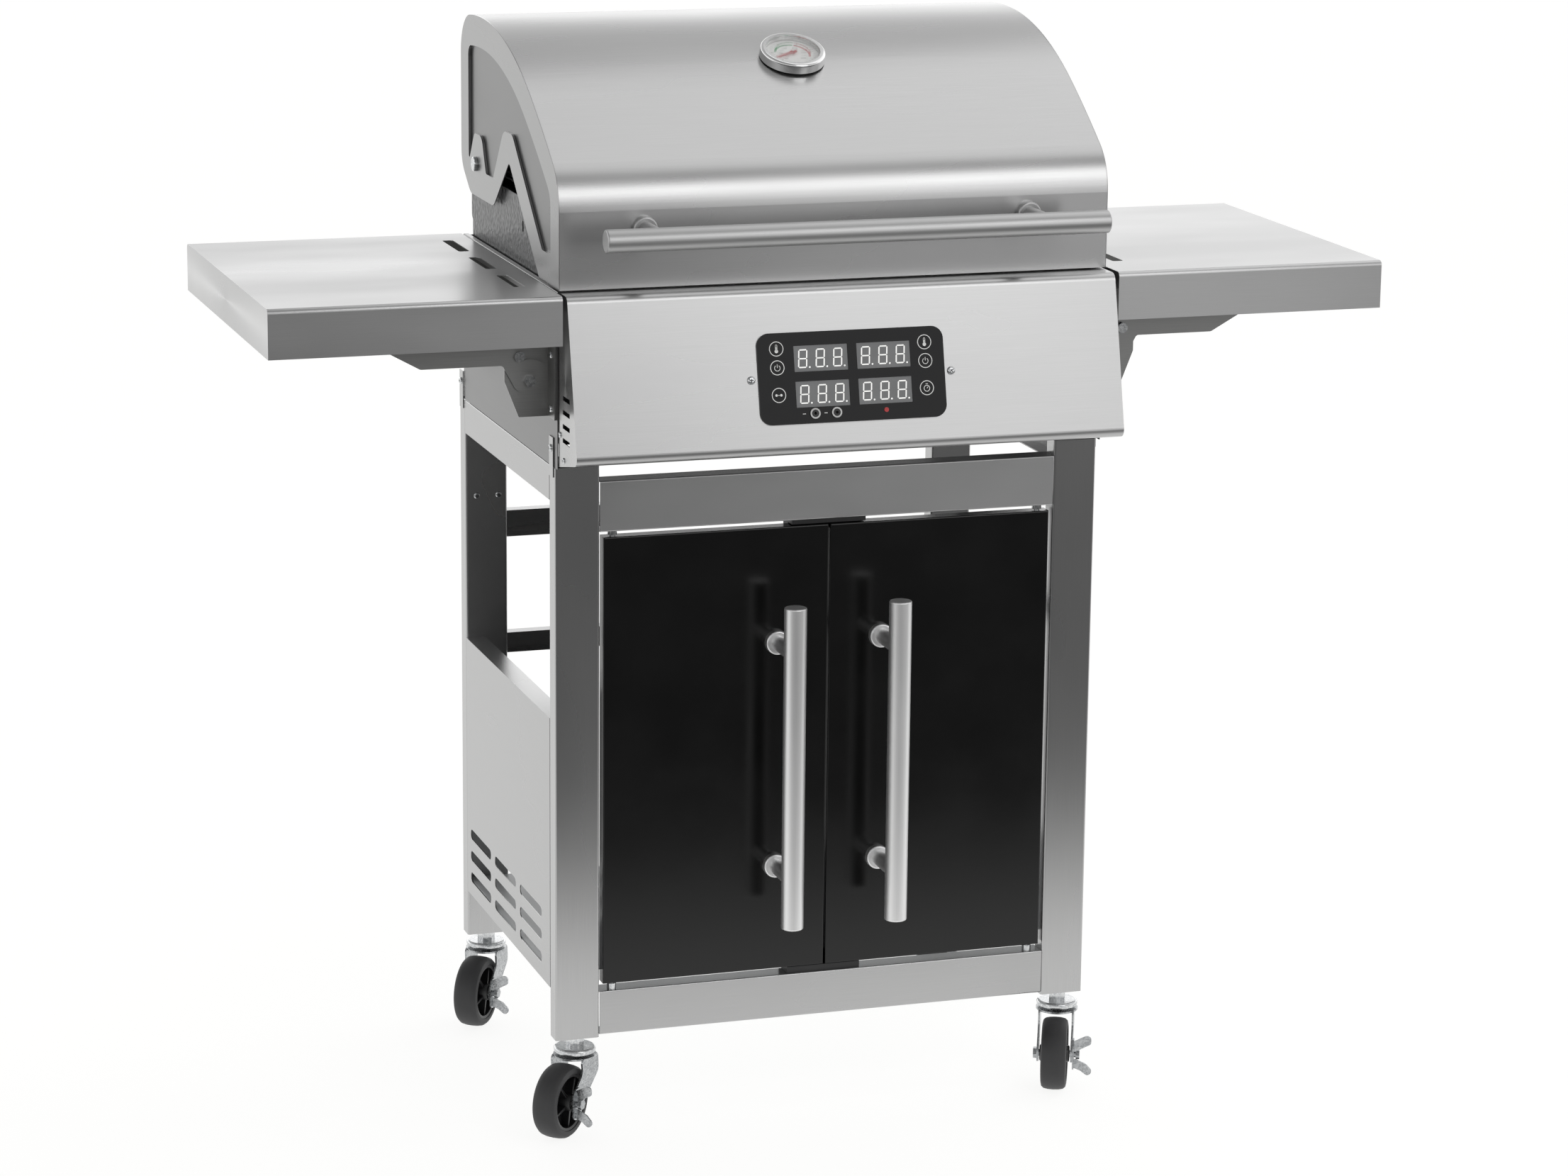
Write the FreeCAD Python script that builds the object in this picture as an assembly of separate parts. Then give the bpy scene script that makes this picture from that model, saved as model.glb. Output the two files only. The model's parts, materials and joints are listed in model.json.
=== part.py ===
import FreeCAD, Part
import math
import os

from FreeCAD import Placement, Rotation, Vector

# Electric barbecue smoker on a wheeled cabinet cart. Millimetres, +Z up.
# The design frame has x = 0 on the centre line, y = 0 on the front face of the front legs
# (the back is +y) and z = 0 on the floor. At the end everything moves along y, so that the
# origin is under the middle of the whole object.

# ---------------------------------------------------------------- driving sizes
sheet = 1.0                     # stainless sheet of panels, shelves and hood
tube_wall = 1.2                 # wall of the leg tubes and channels
gap = 0.3                       # air between pieces that move past each other
fit = 0.05                      # radial clearance of pins and bolts in their holes

# casters
wheel_radius = 40.0
wheel_width = 28.0
wheel_trail = 31.0
wheel_top_gap = 4.0
axle_radius = 4.0
axle_nut_flats = 10.0
brake_plate = 1.6
hub_radius = 9.0
fork_side_gap = 3.5             # between the wheel and each cheek of the fork
fork_plate = 2.0
race_radius = 22.5
race_height = 7.0
hexagon_height = 10.0
kingpin_radius = 5.0
caster_headings = {"front_left": 225.0, "front_right": 246.0, "rear_left": 234.0, "rear_right": 240.0}
fork_inner = 0.5 * wheel_width + fork_side_gap
fork_top_z = 2 * wheel_radius + wheel_top_gap
race_bottom_z = fork_top_z + 2.0
race_top_z = race_bottom_z + race_height

# cart frame
cart_half_width = 300.0         # outer side faces of the legs
cart_depth = 405.0
leg_width = 48.0
leg_depth = 23.0
leg_corner = 2.5
leg_height = 622.0
rail_gap = 0.5                  # between the front rails and the legs
top_rail_height = 54.0
top_rail_drop = 16.0            # below the tops of the legs
bottom_rail_height = 48.0
bottom_rail_rise = 3.0          # above the feet of the legs
side_rail_height = 38.0
side_rail_width = 20.0
side_panel_rise = 53.0
side_panel_height = 297.0
side_panel_flange = 22.0
storage_shelf_rise = 16.0       # above the lower edges of the side panels
storage_shelf_lip = 14.0
rear_rail_depth = 17.0
rear_rail_rises = [(329.0, 352.0), (463.0, 493.0)]      # bottom and top of each, above the feet
leg_bottom = race_top_z + hexagon_height
leg_top = leg_bottom + leg_height
top_rail_top = leg_top - top_rail_drop
top_rail_bottom = top_rail_top - top_rail_height
bottom_rail_bottom = leg_bottom + bottom_rail_rise
bottom_rail_top = bottom_rail_bottom + bottom_rail_height
side_panel_bottom = leg_bottom + side_panel_rise
side_panel_top = side_panel_bottom + side_panel_height
storage_shelf_top = side_panel_bottom + storage_shelf_rise

# vent slots in the side panels
vent_columns = 3
vent_rows = 3
vent_height = 11.5
vent_web = 18.0                 # metal between the ends of neighbouring slots
vent_pitch_z = 25.3
vent_rise = 22.0                # first row above the panel's lower edge
vent_front_margin = 34.0        # from the panel's ends to the nearest slots
vent_back_margin = 16.0
vent_room = cart_depth - 2 * leg_depth - vent_front_margin - vent_back_margin
vent_length = (vent_room - (vent_columns - 1) * vent_web) / vent_columns

# doors
door_bottom_gap = 8.0
door_top_gap = 6.0
door_thickness = 16.0
door_jamb_gap = 3.9             # between the doors' outer edges and the rails' ends
door_centre_gap = 2.0
door_pin_inset = 15.1           # hinge pin from the end of the rail
door_pin_y = 8.0
door_pin_radius = 3.0
door_bush_radius = 6.5
door_bush_depth = 14.0
catch_width = 82.0
door_bottom = bottom_rail_top + door_bottom_gap
door_top = top_rail_bottom - door_top_gap

# tubular handles
handle_radius = 12.0
door_handle_x = 58.0
door_handle_length = 350.0
door_handle_rise = 240.0        # middle of the bar above the door's lower edge
door_post_spacing = 246.0
door_handle_reach = 64.0        # bar centre in front of the door
hood_handle_length = 542.0
hood_handle_rise = 61.0         # above the hood's lower edge
hood_post_spacing = 419.0
hood_handle_reach = 73.0        # bar centre in front of the hood
post_radius = 8.0
collar_radius = 13.0
collar_height = 8.0
door_handle_z = door_bottom + door_handle_rise

# firebox
firebox_gap = 6.0               # above the legs
firebox_height = 180.0
casing_side_gap = 1.0           # between the casing's sides and the side rails
firebox_front = -10.0
firebox_back_inset = 20.0       # from the backs of the rear legs
tub_side_gap = 8.0              # from the outside of the casing
tub_floor_rise = 17.0
tub_front = 8.0
tub_back_gap = 13.0
tub_wall = 1.2
tub_end_rise = 39.0             # heights above the casing's top edge
tub_back_rise = 125.0
end_plate_rise = 18.0
rack_rise = 74.0
tub_front_drop = 11.0           # below the casing's top edge
grate_drop = 15.0
grate_thickness = 6.0
grate_bar = 6.0
grate_slot = 9.0
element_rise = 52.0             # above the tub's floor
element_radius = 4.0
element_pitch = 52.0
element_inset = 52.0            # first and last tubes from the tub's front and back
rack_wire = 2.5
rack_depth = 126.0
firebox_bottom = leg_top + firebox_gap
firebox_top = firebox_bottom + firebox_height
firebox_back = cart_depth - firebox_back_inset
tub_half_width = cart_half_width - tub_side_gap
tub_bottom = firebox_bottom + tub_floor_rise
tub_back = firebox_back - tub_back_gap
tub_front_top = firebox_top - tub_front_drop
tub_end_top = firebox_top + tub_end_rise
tub_back_top = firebox_top + tub_back_rise
end_plate_bottom = firebox_top + end_plate_rise
grate_top = firebox_top - grate_drop
element_z = tub_bottom + element_rise
rack_z = firebox_top + rack_rise

# control panel
panel_side_inset = 1.3          # from the outside of the casing
panel_top_front_y = -43.0
panel_foot_front_y = -82.0
panel_foot_rise = 12.5          # above the casing's lower edge
panel_return_y = -3.0
panel_return_drop = 16.0
panel_bend = 9.0
cheek_vent_count = 4
cheek_vent_pitch = 14.7
cheek_vent_height = 4.8
cheek_vent_y = (-53.0, -26.0)
cheek_vent_rise = 16.9          # lowest vent above the panel's foot
display_width = 203.0
display_height = 94.6
display_corner = 13.0
display_thickness = 2.0
display_centre_v = 78.6         # along the slope, from the panel's foot
display_border = 9.0
window_width = 58.4
window_height = 27.0
window_pitch_x = 68.3
window_pitch_v = 36.8
window_shift_x = 1.2
window_top_offset = 19.8        # upper windows above the plate's middle
jack_x = [-42.8, -19.4]
jack_offset = -37.1
jack_radius = 1.8
jack_body_radius = 5.5
lamp_x = 35.0
lamp_radius = 2.2
panel_screw_x = 109.0
panel_half_width = cart_half_width - panel_side_inset
panel_foot_z = firebox_bottom + panel_foot_rise
panel_return_z = panel_foot_z - panel_return_drop

# hood
hood_side_inset = 0.5           # from the outside of the casing
hood_gap = 2.0                  # above the casing
hood_front_y = -15.0
hood_overhang = 7.3             # behind the casing
hood_front_height = 80.0        # where the front starts to bend back
hood_bends = [(58.0, 54.0), (1150.0, 5.5), (409.8, 36.5), (45.0, 84.0)]   # radius, turn in degrees
hood_back_rise = 138.0
hood_hem = 12.0
hood_pivot_inset = 58.5         # in front of the casing's back
hood_pivot_rise = 85.0          # above the casing
hood_pivot_radius = 4.0
pivot_head_radius = 8.0
pivot_bush_radius = 7.0
emboss_inset = 32.0
emboss_depth = 3.0
emboss_rise = 31.0
dial_setback = 161.0
bezel_radius = 35.0
bezel_height = 12.0
hood_half_width = cart_half_width - hood_side_inset
hood_bottom = firebox_top + hood_gap
hood_back_y = firebox_back + hood_overhang
hood_bend_z = hood_bottom + hood_front_height
hood_back_bottom = hood_bottom + hood_back_rise
hood_pivot_y = firebox_back - hood_pivot_inset
hood_pivot_z = firebox_top + hood_pivot_rise
hood_handle_z = hood_bottom + hood_handle_rise
dial_y = hood_front_y + dial_setback

# side shelves
shelf_gap = 3.3                 # from the outside of the casing
shelf_width = 303.3
shelf_front = -44.0
shelf_rise = 1.0
shelf_skirt = 51.0
shelf_inner_skirt = 18.0
shelf_edge_radius = 5.0
tool_slot_length = 77.0
tool_slot_width = 12.0
tool_slot_inset = 26.7
tool_slot_web = 40.0
tool_slot_shift = 10.0          # middle slot behind the middle of the shelf
tool_slot_count = 3
bracket_plate = 2.0
bracket_inset = 62.0            # arm's front face behind the shelf's front edge
bracket_half_height = 38.0
bracket_pivot_reach = 22.0      # from the outside of the casing
bracket_pivot_drop = 97.0       # below the shelf's top
bracket_bolt_radius = 4.0
bracket_bolt_flats = 11.0
lock_offset_x = 11.0
lock_offset_z = 26.0
lock_screw_radius = 3.5
lock_head_radius = 5.5
lock_slot_half = 5.5
arm_pivot_radius = 11.0
arm_drop = 80.0
arm_tip_inset = 46.0
shelf_inner = cart_half_width + shelf_gap
shelf_outer = shelf_inner + shelf_width
shelf_back = firebox_back
shelf_top = firebox_top + shelf_rise
tool_slot_x = shelf_inner + tool_slot_inset
tool_slot_pitch = tool_slot_length + tool_slot_web
bracket_pivot_x = cart_half_width + bracket_pivot_reach
bracket_pivot_z = shelf_top - bracket_pivot_drop
arm_bottom_z = shelf_top - arm_drop

# grease tray, drawn out at the back
tray_half_width = 180.0
tray_front_gap = 16.0           # behind the tub's front
tray_height = 20.0
tray_wall = 1.2
tray_lip = 14.0                 # pull lip behind the firebox back
tray_front = tub_front + tray_front_gap

# mains cable gland
gland_x = 215.0
gland_rise = 59.0
gland_bore = 4.1
gland_radius = 11.0
gland_z = firebox_bottom + gland_rise

# ---------------------------------------------------------------- shape helpers
pieces = {}


def block(x_span, y_span, z_span):
    corner = Vector(min(x_span), min(y_span), min(z_span))
    size = [abs(span[1] - span[0]) for span in (x_span, y_span, z_span)]
    return Part.makeBox(size[0], size[1], size[2], corner)


def rod(radius, start, end):
    axis = Vector(*end) - Vector(*start)
    return Part.makeCylinder(radius, axis.Length, Vector(*start), axis)


def join(shapes):
    whole = shapes[0].fuse(shapes[1:]) if len(shapes) > 1 else shapes[0]
    return whole.removeSplitter()


def mirrored(shape):
    return shape.mirror(Vector(0, 0, 0), Vector(1, 0, 0))


def round_corners(points):
    """Edges of a closed outline in 2D as start, middle (or None) and end points."""
    spans = []
    count = len(points)
    for i in range(count):
        a, p, b = points[i - 1], points[i], points[(i + 1) % count]
        corner = Vector(p[0], p[1], 0)
        radius = p[2] if len(p) > 2 else 0.0
        if radius <= 0:
            spans.append((corner, None, corner))
            continue
        to_a = (Vector(a[0], a[1], 0) - corner).normalize()
        to_b = (Vector(b[0], b[1], 0) - corner).normalize()
        half = 0.5 * to_a.getAngle(to_b)
        reach = radius / math.tan(half)
        middle = corner + (to_a + to_b).normalize() * (radius / math.sin(half) - radius)
        spans.append((corner + to_a * reach, middle, corner + to_b * reach))
    return spans


def outline(points, place):
    edges = []
    spans = round_corners(points)
    for i, (start, middle, end) in enumerate(spans):
        if middle is not None:
            edges.append(Part.Arc(place(start), place(middle), place(end)).toShape())
        following = spans[(i + 1) % len(spans)][0]
        if (following - end).Length > 1e-6:
            edges.append(Part.makeLine(place(end), place(following)))
    return Part.Wire(edges)


def placer(axis, level):
    if axis == "x":
        return lambda p: Vector(level, p.x, p.y)
    if axis == "y":
        return lambda p: Vector(p.x, level, p.y)
    return lambda p: Vector(p.x, p.y, level)


def prism(points, axis, start, end, holes=()):
    """Extrude an outline, with its holes, along an axis from start to end."""
    place = placer(axis, start)
    wires = [outline(points, place)] + [outline(hole, place) for hole in holes]
    face = Part.makeFace(wires, "Part::FaceMakerBullseye") if holes else Part.Face(wires[0])
    directions = {"x": Vector(1, 0, 0), "y": Vector(0, 1, 0), "z": Vector(0, 0, 1)}
    return face.extrude(directions[axis] * (end - start))


def bent_sheet(points, thickness):
    """Closed section of a sheet bent along an open line of points, thickened to its left."""
    def point(p):
        return Vector(p[0], p[1], 0)

    def left(a, b):
        run = (point(b) - point(a)).normalize()
        return Vector(-run.y, run.x, 0) * thickness

    inner = [point(points[0]) + left(points[0], points[1])]
    radii = [0.0]
    for a, p, b in zip(points, points[1:], points[2:]):
        n1, n2 = left(a, p), left(p, b)
        bisector = (n1 + n2) * (thickness ** 2 / (thickness ** 2 + n1.dot(n2)))
        inner.append(point(p) + bisector)
        turn = (point(p) - point(a)).cross(point(b) - point(p)).z * thickness
        radius = p[2] if len(p) > 2 else 0.0
        radii.append(max(radius - abs(thickness), 0.0) if turn > 0 else radius + abs(thickness))
    inner.append(point(points[-1]) + left(points[-2], points[-1]))
    radii.append(0.0)
    back = [(v.x, v.y, r) for v, r in zip(inner, radii)]
    return list(points) + back[::-1]


def slot(centre_a, centre_b, length, width):
    """Outline of a long slot with rounded ends, along the first axis."""
    a, b, r = 0.5 * length, 0.5 * width, 0.499 * width
    return [(centre_a - a, centre_b - b, r), (centre_a + a, centre_b - b, r),
            (centre_a + a, centre_b + b, r), (centre_a - a, centre_b + b, r)]


def screw_head(position, direction, radius=4.0, height=2.2):
    """Pan head sitting on a face, with its outer edge rounded."""
    head = Part.makeCylinder(radius, height, Vector(0, 0, 0), Vector(0, 0, 1))
    head = head.makeFillet(0.45 * height, [head.Edges[0]])
    turn = Rotation(Vector(0, 0, 1), Vector(*direction))
    head.Placement = Placement(Vector(*position), turn)
    return head


def hex_prism(across_flats, start, end):
    axis = Vector(*end) - Vector(*start)
    corner = 0.5 * across_flats / math.cos(math.radians(30))
    points = [(corner * math.cos(math.radians(60 * i)), corner * math.sin(math.radians(60 * i)))
              for i in range(6)]
    shape = prism(points, "z", 0.0, axis.Length)
    shape.Placement = Placement(Vector(*start), Rotation(Vector(0, 0, 1), axis))
    return shape


# ---------------------------------------------------------------- cart frame
leg_inner = cart_half_width - leg_width
rail_half = leg_inner - rail_gap
back_leg_y = cart_depth - leg_depth
cover_tab = (leg_top - 10.0, leg_top + 32.0)


def rounded_post(x_span, y_span, z_span, radius):
    corners = [(x_span[0], y_span[0], radius), (x_span[1], y_span[0], radius),
               (x_span[1], y_span[1], radius), (x_span[0], y_span[1], radius)]
    return prism(corners, "z", z_span[0], z_span[1])


def leg(y_front):
    """Left leg: a rectangular tube with a foot plate and a tab that holds the firebox."""
    y_span = (y_front, y_front + leg_depth)
    outer = rounded_post((-cart_half_width, -leg_inner), y_span, (leg_bottom, leg_top), leg_corner)
    bore = rounded_post((-cart_half_width + tube_wall, -leg_inner - tube_wall),
                        (y_span[0] + tube_wall, y_span[1] - tube_wall),
                        (leg_bottom + 2 * tube_wall, leg_top), leg_corner - tube_wall)
    middle_y = y_front + 0.5 * leg_depth
    stem_hole = rod(kingpin_radius + fit, (-0.5 * (cart_half_width + leg_inner), middle_y, leg_bottom),
                    (-0.5 * (cart_half_width + leg_inner), middle_y, leg_bottom + 2 * tube_wall))
    tab = block((-cart_half_width - tube_wall, -cart_half_width),
                (middle_y - 7.5, middle_y + 7.5), cover_tab)
    return join([outer.cut(bore).cut(stem_hole), tab])


for end_name, y_front in (("front", 0.0), ("rear", back_leg_y)):
    pieces[f"leg_{end_name}_left"] = leg(y_front)
    pieces[f"leg_{end_name}_right"] = mirrored(leg(y_front))


def channel(low, high, depth_start, depth_end, corner=1.5):
    """C channel section, open towards depth_end."""
    line = [(depth_end, low), (depth_start, low, corner), (depth_start, high, corner), (depth_end, high)]
    return bent_sheet(line, -tube_wall if depth_end > depth_start else tube_wall)


pieces["front_top_rail"] = prism(channel(top_rail_bottom, top_rail_top, 0.0, leg_depth),
                                 "x", -rail_half, rail_half)
pieces["front_bottom_rail"] = prism(channel(bottom_rail_bottom, bottom_rail_top, 0.0, leg_depth),
                                    "x", -rail_half, rail_half)

side_rail = prism(channel(leg_top - side_rail_height, leg_top,
                          -cart_half_width, -cart_half_width + side_rail_width),
                  "y", leg_depth, back_leg_y)
pieces["side_rails"] = Part.makeCompound([side_rail, mirrored(side_rail)])

rear_rail_y = cart_depth - 3.0
pieces["rear_rails"] = Part.makeCompound(
    [prism(channel(low, high, rear_rail_y, rear_rail_y - rear_rail_depth), "x", -leg_inner, leg_inner)
     for low, high in [(leg_bottom + a, leg_bottom + b) for a, b in rear_rail_rises]])


def vent_outlines():
    start = leg_depth + vent_front_margin + 0.5 * vent_length
    return [slot(start + column * (vent_length + vent_web),
                 side_panel_bottom + vent_rise + row * vent_pitch_z, vent_length, vent_height)
            for column in range(vent_columns) for row in range(vent_rows)]


def side_panel():
    x_out = -cart_half_width
    y_span = (leg_depth, back_leg_y)
    corners = [(y_span[0], side_panel_bottom), (y_span[1], side_panel_bottom),
               (y_span[1], side_panel_top), (y_span[0], side_panel_top)]
    skin = prism(corners, "x", x_out, x_out + sheet, vent_outlines())
    flange = block((x_out, x_out + side_panel_flange), y_span, (side_panel_top - sheet, side_panel_top))
    return join([skin, flange])


pieces["side_panel_left"] = side_panel()
pieces["side_panel_right"] = mirrored(side_panel())

storage_half = cart_half_width - sheet - gap
storage_line = [(-storage_half, storage_shelf_top - storage_shelf_lip),
                (-storage_half, storage_shelf_top, 2.0),
                (storage_half, storage_shelf_top, 2.0),
                (storage_half, storage_shelf_top - storage_shelf_lip)]
pieces["bottom_shelf"] = prism(bent_sheet(storage_line, -sheet), "y", leg_depth, back_leg_y)

# ---------------------------------------------------------------- doors and their hinge pins
door_outer = rail_half - door_jamb_gap
door_pin_x = rail_half - door_pin_inset
door_z = (door_bottom, door_top)


def door():
    """Left door: a folded pan open at the back, with a bush for each hinge pin."""
    x_span = (-door_outer, -0.5 * door_centre_gap)
    pan = block(x_span, (0.0, door_thickness), door_z)
    pan = pan.makeFillet(1.5, [e for e in pan.Edges if e.CenterOfMass.y < 0.01])
    hollow = block((x_span[0] + sheet, x_span[1] - sheet), (sheet, door_thickness),
                   (door_z[0] + sheet, door_z[1] - sheet))
    pan = pan.cut(hollow)
    bushes = [rod(door_bush_radius, (-door_pin_x, door_pin_y, z0), (-door_pin_x, door_pin_y, z1))
              for z0, z1 in ((door_z[0], door_z[0] + door_bush_depth), (door_z[1] - door_bush_depth, door_z[1]))]
    bore = rod(door_pin_radius + fit, (-door_pin_x, door_pin_y, door_z[0] - 1),
               (-door_pin_x, door_pin_y, door_z[1] + 1))
    return join([pan] + bushes).cut(bore)


pieces["door_left"] = door()
pieces["door_right"] = mirrored(door())

pin_depth = door_bush_depth - 2.0
collar_gap = 1.5


def door_pins(side):
    """Pin and collar at the bottom and at the top of one door."""
    x = side * door_pin_x
    shapes = []
    for rail_z, door_edge in ((bottom_rail_top, door_z[0]), (top_rail_bottom, door_z[1])):
        inward = 1.0 if door_edge > rail_z else -1.0
        pin = rod(door_pin_radius, (x, door_pin_y, rail_z),
                  (x, door_pin_y, door_edge + inward * pin_depth))
        collar = rod(1.7 * door_pin_radius, (x, door_pin_y, rail_z),
                     (x, door_pin_y, door_edge - inward * collar_gap))
        shapes.append(join([pin, collar]))
    return shapes


pieces["door_hinge_pins"] = Part.makeCompound(door_pins(-1) + door_pins(1))

catch_half = 0.5 * catch_width
catch_back = door_thickness + 17.0


def catch(rail_z, door_edge):
    """Magnetic catch: a strip in the gap at the door's edge and the magnet block behind it."""
    inward = 1.0 if door_edge > rail_z else -1.0
    strip = block((-catch_half, catch_half), (3.0, catch_back), (rail_z, door_edge - inward * 1.0))
    magnet = block((-catch_half, catch_half), (door_thickness + 1.0, catch_back),
                   (rail_z, door_edge + inward * 8.0))
    return join([strip, magnet])


pieces["magnet_catches"] = Part.makeCompound([catch(bottom_rail_top, door_z[0]),
                                              catch(top_rail_bottom, door_z[1])])


def handle(bar_start, bar_end, posts, reach):
    """Bar with rounded ends, and stepped posts from the bar towards reach (y of the panel)."""
    bar = rod(handle_radius, bar_start, bar_end)
    bar = bar.makeFillet(1.5, [e for e in bar.Edges if e.Closed])
    shapes = [bar]
    for x, y, z in posts:
        post = rod(post_radius, (x, y + 0.5 * handle_radius, z), (x, reach, z)).cut(bar)
        collar = rod(collar_radius, (x, reach - collar_height, z), (x, reach, z))
        collar = collar.makeFillet(2.0, [e for e in collar.Edges if e.Closed and e.CenterOfMass.y < reach - 1])
        shapes.append(join([post, collar]))
    return Part.makeCompound(shapes)


for side, name in ((-1, "left"), (1, "right")):
    x, y = side * door_handle_x, -door_handle_reach
    half = 0.5 * door_handle_length
    posts = [(x, y, door_handle_z + sign * 0.5 * door_post_spacing) for sign in (-1, 1)]
    pieces[f"door_handle_{name}"] = handle((x, y, door_handle_z - half), (x, y, door_handle_z + half),
                                           posts, 0.0)

# ---------------------------------------------------------------- firebox
casing_side = prism(bent_sheet([(-cart_half_width, leg_top + casing_side_gap), (-cart_half_width, firebox_top, 1.5),
                                (-tub_half_width - 2.0, firebox_top)], -sheet),
                    "y", firebox_front, firebox_back)
casing_side = casing_side.cut(block((-cart_half_width + sheet, -tub_half_width), (firebox_front, tub_front),
                                    (firebox_top - 2 * sheet, firebox_top)))
pieces["casing_sides"] = Part.makeCompound([casing_side, mirrored(casing_side)])

tray_bottom = tub_bottom + tub_wall + gap
tray_door_half = tray_half_width + 3.0
tray_door_top = tray_bottom + tray_height + 3.0
tray_door = [(-tray_door_half, tub_bottom + tub_wall, 2.0), (tray_door_half, tub_bottom + tub_wall, 2.0),
             (tray_door_half, tray_door_top, 2.0), (-tray_door_half, tray_door_top, 2.0)]
back_half = cart_half_width - sheet - gap
back_vents = [slot(-200.0 + 100.0 * i, firebox_top - 41.0, 60.0, 6.0) for i in range(5)]
gland_hole = slot(gland_x, gland_z, 2 * gland_radius - 6.0, 2 * gland_radius - 6.0)
pieces["casing_back"] = prism([(-back_half, firebox_bottom), (back_half, firebox_bottom),
                               (back_half, firebox_top - sheet - gap), (-back_half, firebox_top - sheet - gap)],
                              "y", firebox_back - sheet, firebox_back, [tray_door, gland_hole] + back_vents)

# open tub: ends, front and floor, with a tall back that stands up behind the grates
tub = block((-tub_half_width, tub_half_width), (tub_front, tub_back), (tub_bottom, tub_back_top))
tub = tub.cut(block((-tub_half_width + tub_wall, tub_half_width - tub_wall),
                    (tub_front + tub_wall, tub_back - tub_wall), (tub_bottom + tub_wall, tub_back_top)))
tub = tub.cut(block((-tub_half_width, tub_half_width), (tub_front, tub_front + tub_wall),
                    (tub_front_top, tub_back_top)))
tub = tub.cut(block((-tub_half_width, tub_half_width), (tub_front, tub_back - tub_wall),
                    (tub_end_top, tub_back_top)))
tub = tub.cut(prism(tray_door, "y", tub_back - 2 * tub_wall, tub_back + 1.0))
pieces["liner_tub"] = tub.removeSplitter()

# hammered end plates: a low wall with an ear that carries the hood's pivot bolt
ear = 30.0
pivot_hole = slot(hood_pivot_y, hood_pivot_z, 2 * (hood_pivot_radius + fit), 2 * (hood_pivot_radius + fit))
end_outline = [(tub_back, end_plate_bottom, 8.0), (tub_back, hood_pivot_z + 24.0, 12.0),
               (hood_pivot_y - ear, hood_pivot_z + 24.0, 12.0), (hood_pivot_y - 2 * ear, hood_pivot_z - 12.0, 10.0),
               (tub_front + 104.0, hood_pivot_z - 12.0, 24.0), (tub_front + 66.0, hood_pivot_z - 30.0, 14.0),
               (tub_front + 12.0, end_plate_bottom, 4.0)]
slot_low, slot_high = hood_pivot_z - 48.0, hood_pivot_z - 32.0 - 4.0
end_slots = [[(y - 2.6, slot_low, 2.5), (y + 2.6, slot_low, 2.5), (y + 2.6, slot_high, 2.5),
              (y - 2.6, slot_high, 2.5)] for y in (tub_front + 110.0, tub_front + 144.0)]
end_plate = prism(end_outline, "x", -tub_half_width - tub_wall, -tub_half_width, end_slots)
bolt_hole = rod(hood_pivot_radius + fit, (-tub_half_width - 5, hood_pivot_y, hood_pivot_z),
                (-tub_half_width + 5, hood_pivot_y, hood_pivot_z))
end_plate = end_plate.cut(bolt_hole)
pieces["firebox_ends"] = Part.makeCompound([end_plate, mirrored(end_plate)])

# two cast grates: plates with long slots front to back
grate_half = tub_half_width - tub_wall - 3.0
grate_y = (tub_front + tub_wall + 3.0, tub_back - tub_wall - 3.0)


def grate():
    x_span = (-grate_half, -1.5)
    pitch = grate_bar + grate_slot
    count = int((x_span[1] - x_span[0] - 2 * grate_bar) / pitch)
    first = 0.5 * (x_span[0] + x_span[1]) - 0.5 * (count - 1) * pitch
    middle = 0.5 * (grate_y[0] + grate_y[1])
    half = 0.5 * grate_slot
    holes = []
    for i in range(count):
        x = first + i * pitch
        for y0, y1 in ((grate_y[0] + 12.0, middle - 5.0), (middle + 5.0, grate_y[1] - 12.0)):
            holes.append([(x - half, y0, 0.8 * half), (x + half, y0, 0.8 * half),
                          (x + half, y1, 0.8 * half), (x - half, y1, 0.8 * half)])
    rim = [(x_span[0], grate_y[0], 6.0), (x_span[1], grate_y[0], 6.0),
           (x_span[1], grate_y[1], 6.0), (x_span[0], grate_y[1], 6.0)]
    return prism(rim, "z", grate_top - grate_thickness, grate_top, holes)


pieces["cooking_grates"] = Part.makeCompound([grate(), mirrored(grate())])

# brackets that the grates lie on, inside the tub
ledge_z = grate_top - grate_thickness
ledges = [block((-grate_half, grate_half), span, (ledge_z - 2.0, ledge_z))
          for span in ((tub_front + tub_wall, tub_front + tub_wall + 12.0),
                       (tub_back - tub_wall - 12.0, tub_back - tub_wall))]
pieces["grate_ledges"] = Part.makeCompound(ledges)


def serpentine(z, x_half, y_rows, radius):
    """Heating tube bent to and fro across the firebox, with its two ends at the right."""
    bend = 0.5 * (y_rows[1] - y_rows[0])
    edges = []
    side = 1.0
    for i, y in enumerate(y_rows):
        edges.append(Part.makeLine(Vector(side * x_half, y, z), Vector(-side * x_half, y, z)))
        side = -side
        if i + 1 < len(y_rows):
            edges.append(Part.Arc(Vector(side * x_half, y, z), Vector(side * (x_half + bend), y + bend, z),
                                  Vector(side * x_half, y + 2 * bend, z)).toShape())
    path = Part.Wire(edges)
    profile = Part.Wire(Part.makeCircle(radius, Vector(x_half, y_rows[0], z), Vector(1, 0, 0)))
    return path.makePipeShell([profile], True, False)


element_room = tub_back - tub_front - 2 * element_inset
element_count = 2 * int(0.5 * element_room / element_pitch) + 2
element_rows = [tub_front + element_inset + i * element_room / (element_count - 1) for i in range(element_count)]
pieces["heating_elements"] = serpentine(element_z, tub_half_width - 30.0 - 0.5 * element_pitch, element_rows, element_radius)

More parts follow.
